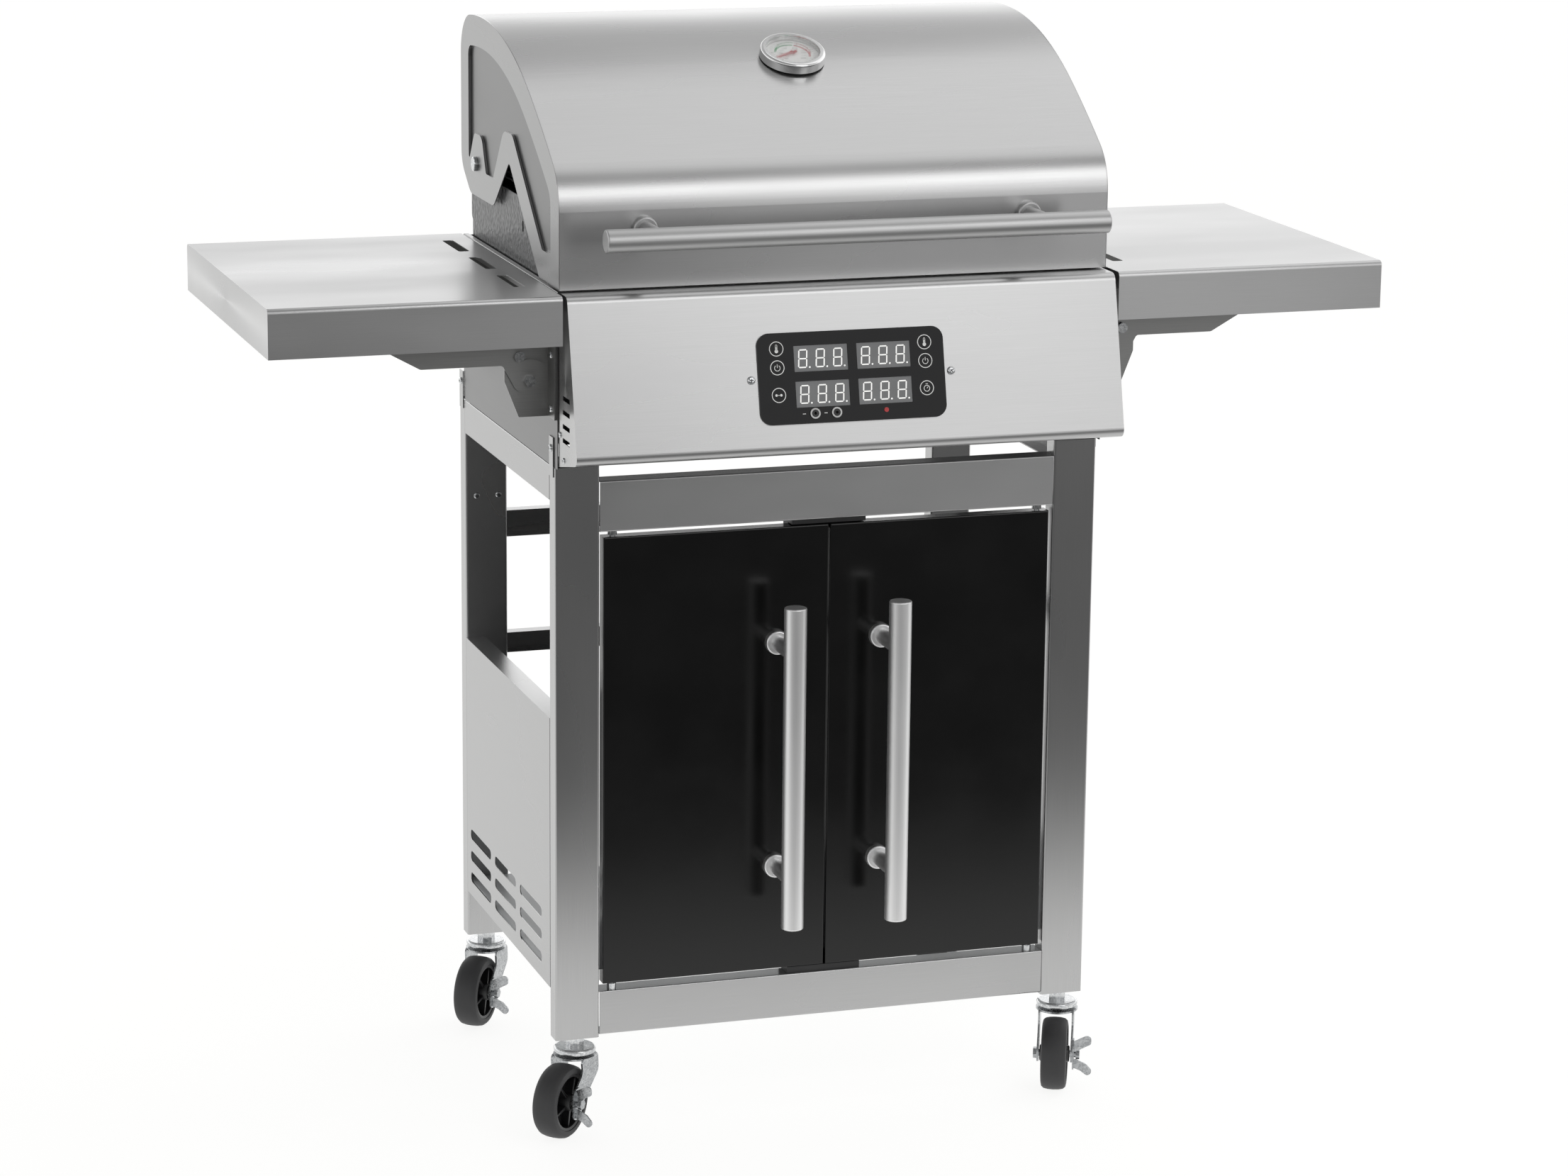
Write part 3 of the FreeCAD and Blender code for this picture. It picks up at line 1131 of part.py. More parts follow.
stems = []
for name in caster_places:
    stems.append(placed_caster(caster_stem(), name))
    pieces[f"caster_fork_{name}"] = placed_caster(caster_fork(), name)
    pieces[f"caster_wheel_{name}"] = placed_caster(caster_wheel(), name)
    pieces[f"caster_brake_{name}"] = placed_caster(caster_brake(), name)
pieces["caster_stems"] = Part.makeCompound(stems)

# ---------------------------------------------------------------- small screws
heads = []
for side in (-1, 1):
    tab_x = side * (cart_half_width + tube_wall)
    for y in (0.5 * leg_depth, cart_depth - 0.5 * leg_depth):
        heads.append(screw_head((tab_x, y, leg_top + 20.0), (side, 0, 0)))
    for y, z in ((-17.0, panel_foot_z + 20.5), (-31.0, panel_foot_z - 4.0)):
        heads.append(screw_head((side * panel_half_width, y, z), (side, 0, 0), 3.2, 1.8))
    flange_x = side * (cart_half_width + bracket_plate)
    for y in (fixed_y[0] - 13.0, 2 * slots_middle_y - fixed_y[0] + 13.0):
        for z in (pivot[1] + 28.0, pivot[1] - 28.0):
            heads.append(screw_head((flange_x, y, z), (side, 0, 0), 3.6, 2.0))
    heads.append(on_slope(screw_head((side * panel_screw_x, display_centre_v, 0.0), (0, 0, 1), 4.3, 2.2)))
    for x in (200.0, 250.0):
        heads.append(screw_head((side * x, firebox_back, firebox_bottom + 29.0), (0, 1, 0), 3.6, 2.0))
    for inset in (0.27, 0.79):
        x = side * (cart_half_width - inset * leg_width)
        heads.append(screw_head((x, back_leg_y, leg_top - 109.5), (0, -1, 0), 3.4, 1.0))
pieces["frame_screws"] = Part.makeCompound(heads)

# ---------------------------------------------------------------- origin and files
low_y = min(shape.BoundBox.YMin for shape in pieces.values())
high_y = max(shape.BoundBox.YMax for shape in pieces.values())
origin_y = 0.5 * (low_y + high_y)

os.makedirs("parts", exist_ok=True)
for name, shape in pieces.items():
    shape.translate(Vector(0, -origin_y, 0))
    shape.exportStep(f"parts/{name}.step")
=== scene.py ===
import json
import math

import bmesh
import bpy
from mathutils import Matrix, Vector


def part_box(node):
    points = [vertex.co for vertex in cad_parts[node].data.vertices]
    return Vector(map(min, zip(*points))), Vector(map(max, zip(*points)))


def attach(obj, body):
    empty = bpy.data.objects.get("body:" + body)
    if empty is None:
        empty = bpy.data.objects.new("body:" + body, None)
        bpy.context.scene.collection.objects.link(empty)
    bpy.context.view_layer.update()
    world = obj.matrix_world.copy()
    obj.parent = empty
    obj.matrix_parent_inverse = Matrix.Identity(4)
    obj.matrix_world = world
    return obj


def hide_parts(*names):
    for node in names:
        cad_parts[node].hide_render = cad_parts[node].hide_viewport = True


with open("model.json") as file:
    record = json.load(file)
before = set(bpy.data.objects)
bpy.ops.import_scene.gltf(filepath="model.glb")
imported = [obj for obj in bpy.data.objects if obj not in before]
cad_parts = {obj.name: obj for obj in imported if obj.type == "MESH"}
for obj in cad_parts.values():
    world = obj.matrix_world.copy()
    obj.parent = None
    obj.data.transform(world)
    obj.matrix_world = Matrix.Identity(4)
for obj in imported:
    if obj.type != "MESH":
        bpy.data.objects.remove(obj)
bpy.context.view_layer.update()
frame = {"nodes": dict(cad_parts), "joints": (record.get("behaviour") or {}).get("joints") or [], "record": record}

# ---------------------------------------------------------------- camera, floor and lights
# A long lens a little above the shelves, from the front left. The floor is one pale sheet of
# translucent acrylic, lit from below around the cart and behind it, so that it shows white. A wide
# softbox overhead and two in front give the metal broad highlights beside darker reflections.


def linear(hex_colour):
    """sRGB hex to linear RGBA."""
    parts = [int(hex_colour[i:i + 2], 16) / 255 for i in (1, 3, 5)]
    return [c / 12.92 if c <= 0.04045 else ((c + 0.055) / 1.055) ** 2.4 for c in parts] + [1.0]


def add(tree, kind, inputs=None, **settings):
    """Adds a node; each input is a value or the socket that feeds it."""
    node = tree.nodes.new(kind)
    for key, value in settings.items():
        setattr(node, key, value)
    for key, value in (inputs or {}).items():
        if isinstance(value, bpy.types.NodeSocket):
            tree.links.new(value, node.inputs[key])
        else:
            node.inputs[key].default_value = value
    return node


def new_material(name):
    material = bpy.data.materials.new(name)
    material.use_nodes = True
    tree = material.node_tree
    shader = tree.nodes["Principled BSDF"]
    place = add(tree, "ShaderNodeTexCoord").outputs["Object"]
    return material, tree, shader, place


def link(obj):
    bpy.context.scene.collection.objects.link(obj)
    return obj


camera_place = Vector((-1.4812, -4.5296, 1.6851))
azimuth, elevation, roll = math.radians(-18.13), math.radians(13.48), math.radians(0.613)
back = Vector((math.sin(azimuth) * math.cos(elevation), -math.cos(azimuth) * math.cos(elevation),
               math.sin(elevation)))
level_right = (-back).cross(Vector((0, 0, 1))).normalized()
level_up = level_right.cross(-back)
right = level_right * math.cos(roll) + level_up * math.sin(roll)
up = level_up * math.cos(roll) - level_right * math.sin(roll)
camera = link(bpy.data.objects.new("camera", bpy.data.cameras.new("camera")))
camera.data.sensor_width = 36.0
camera.data.lens = 102.91
camera.data.clip_end = 200.0
camera.matrix_world = Matrix.Translation(camera_place) @ Matrix((right, up, back)).transposed().to_4x4()
bpy.context.scene.camera = camera

paper, tree, shader, place = new_material("opal_acrylic_sheet")
# a fine matt grain; it looks evenly lit, and what the metal mirrors of it fades away in front
grain = add(tree, "ShaderNodeTexNoise", {"Vector": place, "Scale": 900.0, "Detail": 3.0})
shade = add(tree, "ShaderNodeValToRGB", {"Fac": grain.outputs["Fac"]})
shade.color_ramp.elements[0].color = linear("#6c6c6c")
shade.color_ramp.elements[1].color = linear("#727272")
tree.links.new(shade.outputs["Color"], shader.inputs["Base Color"])
depth = add(tree, "ShaderNodeSeparateXYZ", {"Vector": place}).outputs["Y"]
glow = add(tree, "ShaderNodeMapRange", {"Value": depth, "From Min": -1.35, "From Max": -0.55,
                                        "To Min": 0.0, "To Max": 0.95}, interpolation_type="SMOOTHSTEP")
seen = add(tree, "ShaderNodeLightPath").outputs["Is Camera Ray"]
even = add(tree, "ShaderNodeMix", {"Factor": seen, "A": glow.outputs["Result"], "B": 0.88})
tree.links.new(even.outputs["Result"], shader.inputs["Emission Strength"])
shader.inputs["Emission Color"].default_value = linear("#fffffe")
shader.inputs["Roughness"].default_value = 0.9
shader.inputs["Specular IOR Level"].default_value = 0.1
floor_mesh = bpy.data.meshes.new("floor")
floor_mesh.from_pydata([(-40, -40, 0), (40, -40, 0), (40, 40, 0), (-40, 40, 0)], [], [(0, 1, 2, 3)])
floor_mesh.materials.append(paper)
link(bpy.data.objects.new("floor", floor_mesh))

world = bpy.data.worlds.new("studio")
bpy.context.scene.world = world
world.use_nodes = True
sky = world.node_tree
toward = add(sky, "ShaderNodeTexCoord").outputs["Generated"]
direction = add(sky, "ShaderNodeSeparateXYZ", {"Vector": toward})
dome = add(sky, "ShaderNodeValToRGB", {"Fac": direction.outputs["Z"]})
dome.color_ramp.elements[0].color = (0.55, 0.55, 0.55, 1)
dome.color_ramp.elements[1].color = (0.22, 0.22, 0.22, 1)
for position, level in ((0.12, 0.95), (0.27, 0.85), (0.42, 0.40)):
    dome.color_ramp.elements.new(position).color = (level, level, level, 1)
behind = add(sky, "ShaderNodeMapRange", {"Value": direction.outputs["Y"], "From Min": -1.0,
                                         "To Min": 1.05, "To Max": 2.2})
sky.links.new(dome.outputs["Color"], sky.nodes["Background"].inputs["Color"])
sky.links.new(behind.outputs["Result"], sky.nodes["Background"].inputs["Strength"])


def softbox(name, place, target, width, height, power):
    lamp = bpy.data.lights.new(name, "AREA")
    lamp.shape = "RECTANGLE"
    lamp.size, lamp.size_y, lamp.energy = width, height, power
    obj = link(bpy.data.objects.new(name, lamp))
    aim = (Vector(target) - Vector(place)).to_track_quat("-Z", "Y")
    obj.matrix_world = Matrix.Translation(Vector(place)) @ aim.to_matrix().to_4x4()


softbox("softbox_overhead", (1.8, 0.4, 3.4), (0.2, 0.1, 0.9), 3.0, 3.8, 31)
softbox("softbox_front_high", (0.9, -2.65, 2.5), (0, -0.1, 0.95), 1.7, 1.1, 13)
softbox("softbox_front_right", (1.75, -3.8, 1.2), (0, 0, 0.9), 1.6, 2.0, 6)
bpy.context.scene.view_settings.view_transform = "Standard"

# ---------------------------------------------------------------- legs and rails
# Folded stainless steel tubes and channels, brushed along their length and spot-welded. The
# brushing gives fine streaks, a soft stretched shine and a faint change of grey from band to band.


def brushed_stainless(name, axis, dark="#aeaeae", light="#b6b6b6", rough=(0.23, 0.30), spread=0.7):
    """Stainless sheet brushed along one axis. Real streaks are 0.2 mm wide; drawn 0.5 mm to show."""
    material, tree, shader, place = new_material(name)
    streak_length, streak_width, cloud = 0.070, 0.0005, 0.16

    def along(length, width, detail):
        scale = [1 / width] * 3
        scale["XYZ".index(axis)] = 1 / length
        placed = add(tree, "ShaderNodeMapping", {"Vector": place, "Scale": scale})
        return add(tree, "ShaderNodeTexNoise", {"Vector": placed.outputs["Vector"], "Scale": 1.0,
                                                "Detail": detail, "Roughness": 0.5}).outputs["Fac"]

    streaks = along(streak_length, streak_width, 2.0)
    clouds = along(3 * cloud, cloud, 3.0)
    tone = add(tree, "ShaderNodeMath", {0: streaks, 1: clouds}, operation="ADD")
    half = add(tree, "ShaderNodeMath", {0: tone.outputs[0], 1: 0.5}, operation="MULTIPLY")
    colour = add(tree, "ShaderNodeValToRGB", {"Fac": half.outputs[0]})
    colour.color_ramp.elements[0].position = 0.3
    colour.color_ramp.elements[1].position = 0.7
    colour.color_ramp.elements[0].color = linear(dark)
    colour.color_ramp.elements[1].color = linear(light)
    base = add(tree, "ShaderNodeMapRange", {"Value": clouds, "From Min": 0.3, "From Max": 0.7,
                                            "To Min": rough[0], "To Max": rough[1]})
    bump = add(tree, "ShaderNodeBump", {"Height": streaks, "Strength": 0.02, "Distance": 0.0001})
    tangent = add(tree, "ShaderNodeTangent", direction_type="RADIAL", axis=axis)
    tree.links.new(colour.outputs["Color"], shader.inputs["Base Color"])
    tree.links.new(base.outputs[0], shader.inputs["Roughness"])
    tree.links.new(bump.outputs["Normal"], shader.inputs["Normal"])
    tree.links.new(tangent.outputs["Tangent"], shader.inputs["Tangent"])
    shader.inputs["Metallic"].default_value = 1.0
    shader.inputs["Anisotropic"].default_value = spread
    return material


def dress(material, *names):
    """Gives CAD nodes their material."""
    for name in names:
        for material_slot in frame["nodes"][name].material_slots:
            material_slot.material = material


steel_upright = brushed_stainless("stainless_brushed_upright", "Z")
steel_across = brushed_stainless("stainless_brushed_across", "X")
# the side rails and side panels take a darker copy of the brushed stainless, #9a to #a2: painted shade for the
# sheets that face sideways
side_steel_painted_shade = brushed_stainless("stainless_brushed_front_to_back", "Y", "#9a9a9a", "#a2a2a2")
dress(steel_upright, "leg_front_left", "leg_front_right", "leg_rear_left", "leg_rear_right")
dress(steel_across, "front_top_rail", "front_bottom_rail", "rear_rails")
dress(side_steel_painted_shade, "side_rails", "side_panel_left", "side_panel_right")

# ---------------------------------------------------------------- storage shelf
# A folded steel shelf painted light grey: an even satin coat with slight orange peel and a few
# dull patches where things have been pushed across it.


def painted(name, colour, deep, rough, peel=0.0022, peel_height=0.00005, shine=0.5):
    """Powder coat: fine orange peel of the given pitch, with a slightly uneven gloss."""
    material, tree, shader, place = new_material(name)
    patches = add(tree, "ShaderNodeTexNoise", {"Vector": place, "Scale": 14.0, "Detail": 5.0})
    shade = add(tree, "ShaderNodeValToRGB", {"Fac": patches.outputs["Fac"]})
    shade.color_ramp.elements[0].position, shade.color_ramp.elements[1].position = 0.35, 0.65
    shade.color_ramp.elements[0].color = linear(deep)
    shade.color_ramp.elements[1].color = linear(colour)
    gloss = add(tree, "ShaderNodeMapRange", {"Value": patches.outputs["Fac"], "From Min": 0.3,
                                             "From Max": 0.7, "To Min": rough[0], "To Max": rough[1]})
    grain = add(tree, "ShaderNodeTexNoise", {"Vector": place, "Scale": 1 / peel, "Detail": 1.0})
    bump = add(tree, "ShaderNodeBump", {"Height": grain.outputs["Fac"], "Strength": 0.25,
                                        "Distance": peel_height})
    tree.links.new(shade.outputs["Color"], shader.inputs["Base Color"])
    tree.links.new(gloss.outputs[0], shader.inputs["Roughness"])
    tree.links.new(bump.outputs["Normal"], shader.inputs["Normal"])
    shader.inputs["Specular IOR Level"].default_value = shine
    return material


dress(painted("light_grey_powder_coat", "#b9bbbc", "#aeb0b1", (0.34, 0.46)), "bottom_shelf")

# ---------------------------------------------------------------- doors, hinge pins and catches
# Pressed steel doors in satin black enamel that mirrors the handles softly. They turn on zinc-plated
# pins, and black plastic blocks hold the magnets that keep them shut.
enamel = painted("satin_black_enamel", "#0c0c0c", "#080808", (0.15, 0.21), shine=0.4)
dress(enamel, "door_left", "door_right")


def zinc_plate(name, dark="#8d9094", light="#b4b6b8", spangle=0.004, rough=(0.22, 0.42)):
    """Zinc on steel: cloudy crystals of the given size in slightly different greys."""
    material, tree, shader, place = new_material(name)
    crystals = add(tree, "ShaderNodeTexVoronoi", {"Vector": place, "Scale": 1 / spangle})
    value = add(tree, "ShaderNodeSeparateColor", {"Color": crystals.outputs["Color"]})
    clouds = add(tree, "ShaderNodeTexNoise", {"Vector": place, "Scale": 60.0, "Detail": 5.0})
    mixed = add(tree, "ShaderNodeMath", {0: value.outputs[0], 1: clouds.outputs["Fac"]},
                operation="MULTIPLY")
    shade = add(tree, "ShaderNodeValToRGB", {"Fac": mixed.outputs[0]})
    shade.color_ramp.elements[0].color = linear(dark)
    shade.color_ramp.elements[1].color = linear(light)
    shade.color_ramp.elements[1].position = 0.6
    gloss = add(tree, "ShaderNodeMapRange", {"Value": mixed.outputs[0], "To Min": rough[0],
                                             "To Max": rough[1], "From Max": 0.7})
    bump = add(tree, "ShaderNodeBump", {"Height": clouds.outputs["Fac"], "Strength": 0.15,
                                        "Distance": 0.0001})
    tree.links.new(shade.outputs["Color"], shader.inputs["Base Color"])
    tree.links.new(gloss.outputs[0], shader.inputs["Roughness"])
    tree.links.new(bump.outputs["Normal"], shader.inputs["Normal"])
    shader.inputs["Metallic"].default_value = 1.0
    return material


bright_zinc = zinc_plate("bright_zinc_plate", "#b2b4b6", "#dcdddd", 0.0018, (0.15, 0.28))
dress(bright_zinc, "door_hinge_pins")


def moulded_plastic(name, colour, deep, rough=(0.42, 0.56), pitch=0.0011):
    """Injection moulding from a spark-eroded tool: an even matt grain, greyer where it is rubbed."""
    material, tree, shader, place = new_material(name)
    grain = add(tree, "ShaderNodeTexNoise", {"Vector": place, "Scale": 1 / pitch, "Detail": 2.0})
    rub = add(tree, "ShaderNodeTexNoise", {"Vector": place, "Scale": 30.0, "Detail": 5.0})
    shade = add(tree, "ShaderNodeValToRGB", {"Fac": rub.outputs["Fac"]})
    shade.color_ramp.elements[0].position, shade.color_ramp.elements[1].position = 0.4, 0.75
    shade.color_ramp.elements[0].color = linear(deep)
    shade.color_ramp.elements[1].color = linear(colour)
    gloss = add(tree, "ShaderNodeMapRange", {"Value": rub.outputs["Fac"], "To Min": rough[0],
                                             "To Max": rough[1]})
    bump = add(tree, "ShaderNodeBump", {"Height": grain.outputs["Fac"], "Strength": 0.3,
                                        "Distance": 0.0001})
    tree.links.new(shade.outputs["Color"], shader.inputs["Base Color"])
    tree.links.new(gloss.outputs[0], shader.inputs["Roughness"])
    tree.links.new(bump.outputs["Normal"], shader.inputs["Normal"])
    return material


black_abs = moulded_plastic("black_abs_moulding", "#232324", "#161617")
dress(black_abs, "magnet_catches")

# ---------------------------------------------------------------- handles
# Stainless tube, satin-polished lengthways, on turned posts with stepped collars that are screwed on
# from behind the sheet. The satin finish spreads each highlight into a broad soft line.
satin_rough, satin_spread = (0.36, 0.45), 0.2
# the door handles take a much lighter copy of the satin stainless, #de to #e8: a painted highlight on the upright
# tubes
door_handle_painted_highlight = brushed_stainless("stainless_satin_upright", "Z", "#dedede", "#e8e8e8",
                                   satin_rough, satin_spread)
handle_across = brushed_stainless("stainless_satin_across", "X", "#aaaaaa", "#b4b4b4",
                                  satin_rough, satin_spread)
dress(door_handle_painted_highlight, "door_handle_left", "door_handle_right")
dress(handle_across, "hood_handle")

# ---------------------------------------------------------------- firebox
# The casing is galvanised sheet. Inside it hangs a tub in dark hammered enamel, whose end plates
# show above the shelves, with heating tubes, cast-iron grates and a chromed wire rack.
galvanised = zinc_plate("galvanised_sheet", "#8f9193", "#a0a2a3", 0.004, (0.32, 0.42))
dress(galvanised, "casing_back", "grease_tray")
# the casing sides take a much darker copy of the brushed stainless, #5c to #64: painted shade for the shadow under
# the side shelves
casing_side_painted_shade = brushed_stainless("stainless_casing_side", "Y", "#5c5c5c", "#646464", (0.28, 0.34))
dress(casing_side_painted_shade, "casing_sides")

hammered, tree, shader, place = new_material("hammered_dark_enamel")
# hammer-finish enamel: shallow dimples about 5 mm across, glossy on their rims
dimple = 0.005
dimples = add(tree, "ShaderNodeTexVoronoi", {"Vector": place, "Scale": 1 / dimple, "Randomness": 0.9},
              feature="SMOOTH_F1")
shade = add(tree, "ShaderNodeValToRGB", {"Fac": dimples.outputs["Distance"]})
shade.color_ramp.elements[0].color = linear("#2c2d2e")
shade.color_ramp.elements[1].color = linear("#4b4c4d")
gloss = add(tree, "ShaderNodeMapRange", {"Value": dimples.outputs["Distance"], "To Min": 0.38,
                                         "To Max": 0.22})
bump = add(tree, "ShaderNodeBump", {"Height": dimples.outputs["Distance"], "Strength": 0.7,
                                    "Distance": 0.0008})
tree.links.new(shade.outputs["Color"], shader.inputs["Base Color"])
tree.links.new(gloss.outputs[0], shader.inputs["Roughness"])
tree.links.new(bump.outputs["Normal"], shader.inputs["Normal"])
shader.inputs["Metallic"].default_value = 0.35
dress(hammered, "liner_tub", "firebox_ends", "grate_ledges")

cast_iron, tree, shader, place = new_material("seasoned_cast_iron")
# sand casting leaves a 1 mm pitted skin, browner where fat has baked on
pits = add(tree, "ShaderNodeTexNoise", {"Vector": place, "Scale": 900.0, "Detail": 4.0})
baked = add(tree, "ShaderNodeTexNoise", {"Vector": place, "Scale": 22.0, "Detail": 4.0})
shade = add(tree, "ShaderNodeValToRGB", {"Fac": baked.outputs["Fac"]})
shade.color_ramp.elements[0].color = linear("#181716")
shade.color_ramp.elements[1].color = linear("#2a2522")
bump = add(tree, "ShaderNodeBump", {"Height": pits.outputs["Fac"], "Strength": 0.6, "Distance": 0.0004})
gloss = add(tree, "ShaderNodeMapRange", {"Value": baked.outputs["Fac"], "To Min": 0.4, "To Max": 0.65})
tree.links.new(shade.outputs["Color"], shader.inputs["Base Color"])
tree.links.new(bump.outputs["Normal"], shader.inputs["Normal"])
tree.links.new(gloss.outputs[0], shader.inputs["Roughness"])
shader.inputs["Metallic"].default_value = 0.3
dress(cast_iron, "cooking_grates")

heated_tube = zinc_plate("heat_stained_tube", "#4b4340", "#6d645d", 0.01, (0.35, 0.5))
dress(heated_tube, "heating_elements")
dress(bright_zinc, "warming_rack")

# ---------------------------------------------------------------- control panel
# One folded stainless sheet, brushed from side to side, with a printed glass plate let into its
# slope. Behind the glass sit grey-filtered LED modules, two sockets for probes and a red lamp.
panel_steel = brushed_stainless("stainless_brushed_panel", "X", "#b0b0b0", "#b8b8b8", (0.25, 0.32))
dress(panel_steel, "control_panel")

black_glass, tree, shader, place = new_material("black_printed_glass")
# float glass printed black behind: mirror-like, with faint wiped smears
smears = add(tree, "ShaderNodeTexNoise", {"Vector": place, "Scale": 35.0, "Detail": 6.0,
                                          "Distortion": 1.5})
gloss = add(tree, "ShaderNodeMapRange", {"Value": smears.outputs["Fac"], "From Min": 0.4,
                                         "From Max": 0.75, "To Min": 0.04, "To Max": 0.16})
shade = add(tree, "ShaderNodeValToRGB", {"Fac": smears.outputs["Fac"]})
shade.color_ramp.elements[0].color = linear("#09090a")
shade.color_ramp.elements[1].color = linear("#101012")
tree.links.new(gloss.outputs[0], shader.inputs["Roughness"])
tree.links.new(shade.outputs["Color"], shader.inputs["Base Color"])
shader.inputs["IOR"].default_value = 1.52
shader.inputs["Specular IOR Level"].default_value = 0.2
dress(black_glass, "touch_panel")

# the filter is a smoked acrylic window that looks mid grey while the LEDs are off
filter_window = moulded_plastic("grey_display_filter", "#7c7d7e", "#747576", (0.22, 0.30), 0.004)
dress(filter_window, "led_displays")
# the sockets are turned and nickel plated, and the board behind shows only from inside
turned_steel = brushed_stainless("turned_nickel_plate", "Y", "#8f8f8e", "#a4a4a3", (0.2, 0.3))
dress(turned_steel, "probe_jacks")
board = moulded_plastic("green_solder_mask", "#1c4a2c", "#153a22", (0.3, 0.4))
dress(board, "control_board")

low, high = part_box("touch_panel")
mounts = {m["name"]: m for m in frame["record"]["mounts"]}
outward = Vector(mounts["probe_jack_left"]["axis"]).normalized()
up_slope = Vector((0, outward.z, -outward.y))
MM = 0.001
glass_half = 1.0 * MM
panel_frame = Matrix((Vector((1, 0, 0)), up_slope, outward)).transposed().to_4x4()
panel_frame.translation = 0.5 * (low + high) + outward * glass_half


def flat_mesh(name, loops, height, material, place, body):
    """Raised flat shapes in mm: each loop is its outline's points and the level that it stands on."""
    bm = bmesh.new()
    for points, base in loops:
        bottom = [bm.verts.new((x * MM, y * MM, base * MM)) for x, y in points]
        top = [bm.verts.new((x * MM, y * MM, (base + height) * MM)) for x, y in points]
        bm.faces.new(top)
        for i in range(len(points)):
            j = (i + 1) % len(points)
            bm.faces.new((bottom[i], bottom[j], top[j], top[i]))
    mesh = bpy.data.meshes.new(name)
    bm.normal_update()
    bm.to_mesh(mesh)
    bm.free()
    mesh.materials.append(material)
    obj = link(bpy.data.objects.new(name, mesh))
    obj.matrix_world = place
    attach(obj, body)


def segments(centre_x, centre_y):
    """The seven bars and the point of one digit, leaning to the right."""
    half_w, half_h, bar, gap = 4.3, 9.0, 0.66, 0.3
    slant, dot_radius, dot_out = 0.07, 0.95, 3.4
    loops = []

    def lean(points):
        return [(centre_x + x + slant * y, centre_y + y) for x, y in points]

    for y in (-half_h, 0.0, half_h):
        a, b = -half_w + gap, half_w - gap
        loops.append(lean([(a, y), (a + bar, y - bar), (b - bar, y - bar), (b, y), (b - bar, y + bar),
                           (a + bar, y + bar)]))
    for x in (-half_w, half_w):
        for y0, y1 in ((-half_h + gap, -gap), (gap, half_h - gap)):
            loops.append(lean([(x, y0), (x + bar, y0 + bar), (x + bar, y1 - bar), (x, y1),
                               (x - bar, y1 - bar), (x - bar, y0 + bar)]))
    turns = [math.tau * i / 12 for i in range(12)]
    loops.append(lean([(half_w + dot_out + dot_radius * math.cos(turn),
                        -half_h + dot_radius * math.sin(turn)) for turn in turns]))
    return loops


# unlit segments are cast in milky white resin; the emission of 0.35 given to them is a painted glow, so they look
# almost lit
led_segments_painted_glow = moulded_plastic("white_led_segment", "#fbfbf9", "#f2f2f0", (0.3, 0.4), 0.004)
segment_glow_shader = led_segments_painted_glow.node_tree.nodes["Principled BSDF"]
segment_glow_shader.inputs["Emission Color"].default_value = linear("#fffffb")
segment_glow_shader.inputs["Emission Strength"].default_value = 0.35
window_centres = [(x, y) for y in (19.8, -17.0) for x in (-32.95, 35.35)]
digit_pitch, digit_shift, window_level = 19.0, -0.6, -0.58
digit_loops = []
for window_x, window_y in window_centres:
    for k in (-1, 0, 1):
        digit_x = window_x + digit_shift + digit_pitch * k
        digit_loops += [(points, window_level) for points in segments(digit_x, window_y)]
flat_mesh("led_digits", digit_loops, 0.1, led_segments_painted_glow, panel_frame, "cart")


def arc(cx, cy, radius, start, end, count=28):
    turns = [math.radians(start + (end - start) * i / count) for i in range(count + 1)]
    return [(cx + radius * math.cos(turn), cy + radius * math.sin(turn)) for turn in turns]


def stroke(points, width):
    """Quads of one printed line, as closed loops."""
    loops = []
    for (x0, y0), (x1, y1) in zip(points, points[1:]):
        length = math.hypot(x1 - x0, y1 - y0)
        nx, ny = -(y1 - y0) / length * width / 2, (x1 - x0) / length * width / 2
        loops.append([(x0 - nx, y0 - ny), (x1 - nx, y1 - ny), (x1 + nx, y1 + ny), (x0 + nx, y0 + ny)])
    return loops


def ring(cx, cy, radius, width):
    return stroke(arc(cx, cy, radius, 0, 360, 40), width)


def power_symbol(cx, cy):
    return stroke(arc(cx, cy - 0.3, 3.0, 125, 415), 0.65) + stroke([(cx, cy), (cx, cy + 3.6)], 0.65)


def probe_symbol(cx, cy):
    return (stroke([(cx - 0.9, cy - 1.2), (cx - 0.9, cy + 3.4)], 0.5)
            + stroke([(cx + 0.9, cy - 1.2), (cx + 0.9, cy + 3.4)], 0.5)
            + stroke(arc(cx, cy + 3.4, 0.9, 0, 180, 10), 0.5) + [arc(cx, cy - 2.5, 1.9, 0, 345, 20)]
            + stroke([(cx, cy - 2.0), (cx, cy + 2.0)], 0.8))


def timer_symbol(cx, cy):
    return (stroke(arc(cx, cy - 0.5, 3.1, 0, 360), 0.7)
            + stroke([(cx, cy - 0.5), (cx + 1.5, cy + 1.0)], 0.6)
            + stroke([(cx - 1.2, cy + 4.1), (cx + 1.2, cy + 4.1)], 0.7))


def pair_symbol(cx, cy):
    return [arc(cx - 2.6, cy, 1.3, 0, 345, 16), arc(cx + 2.6, cy, 1.3, 0, 345, 16),
            *stroke([(cx - 0.9, cy), (cx + 0.9, cy)], 0.6)]


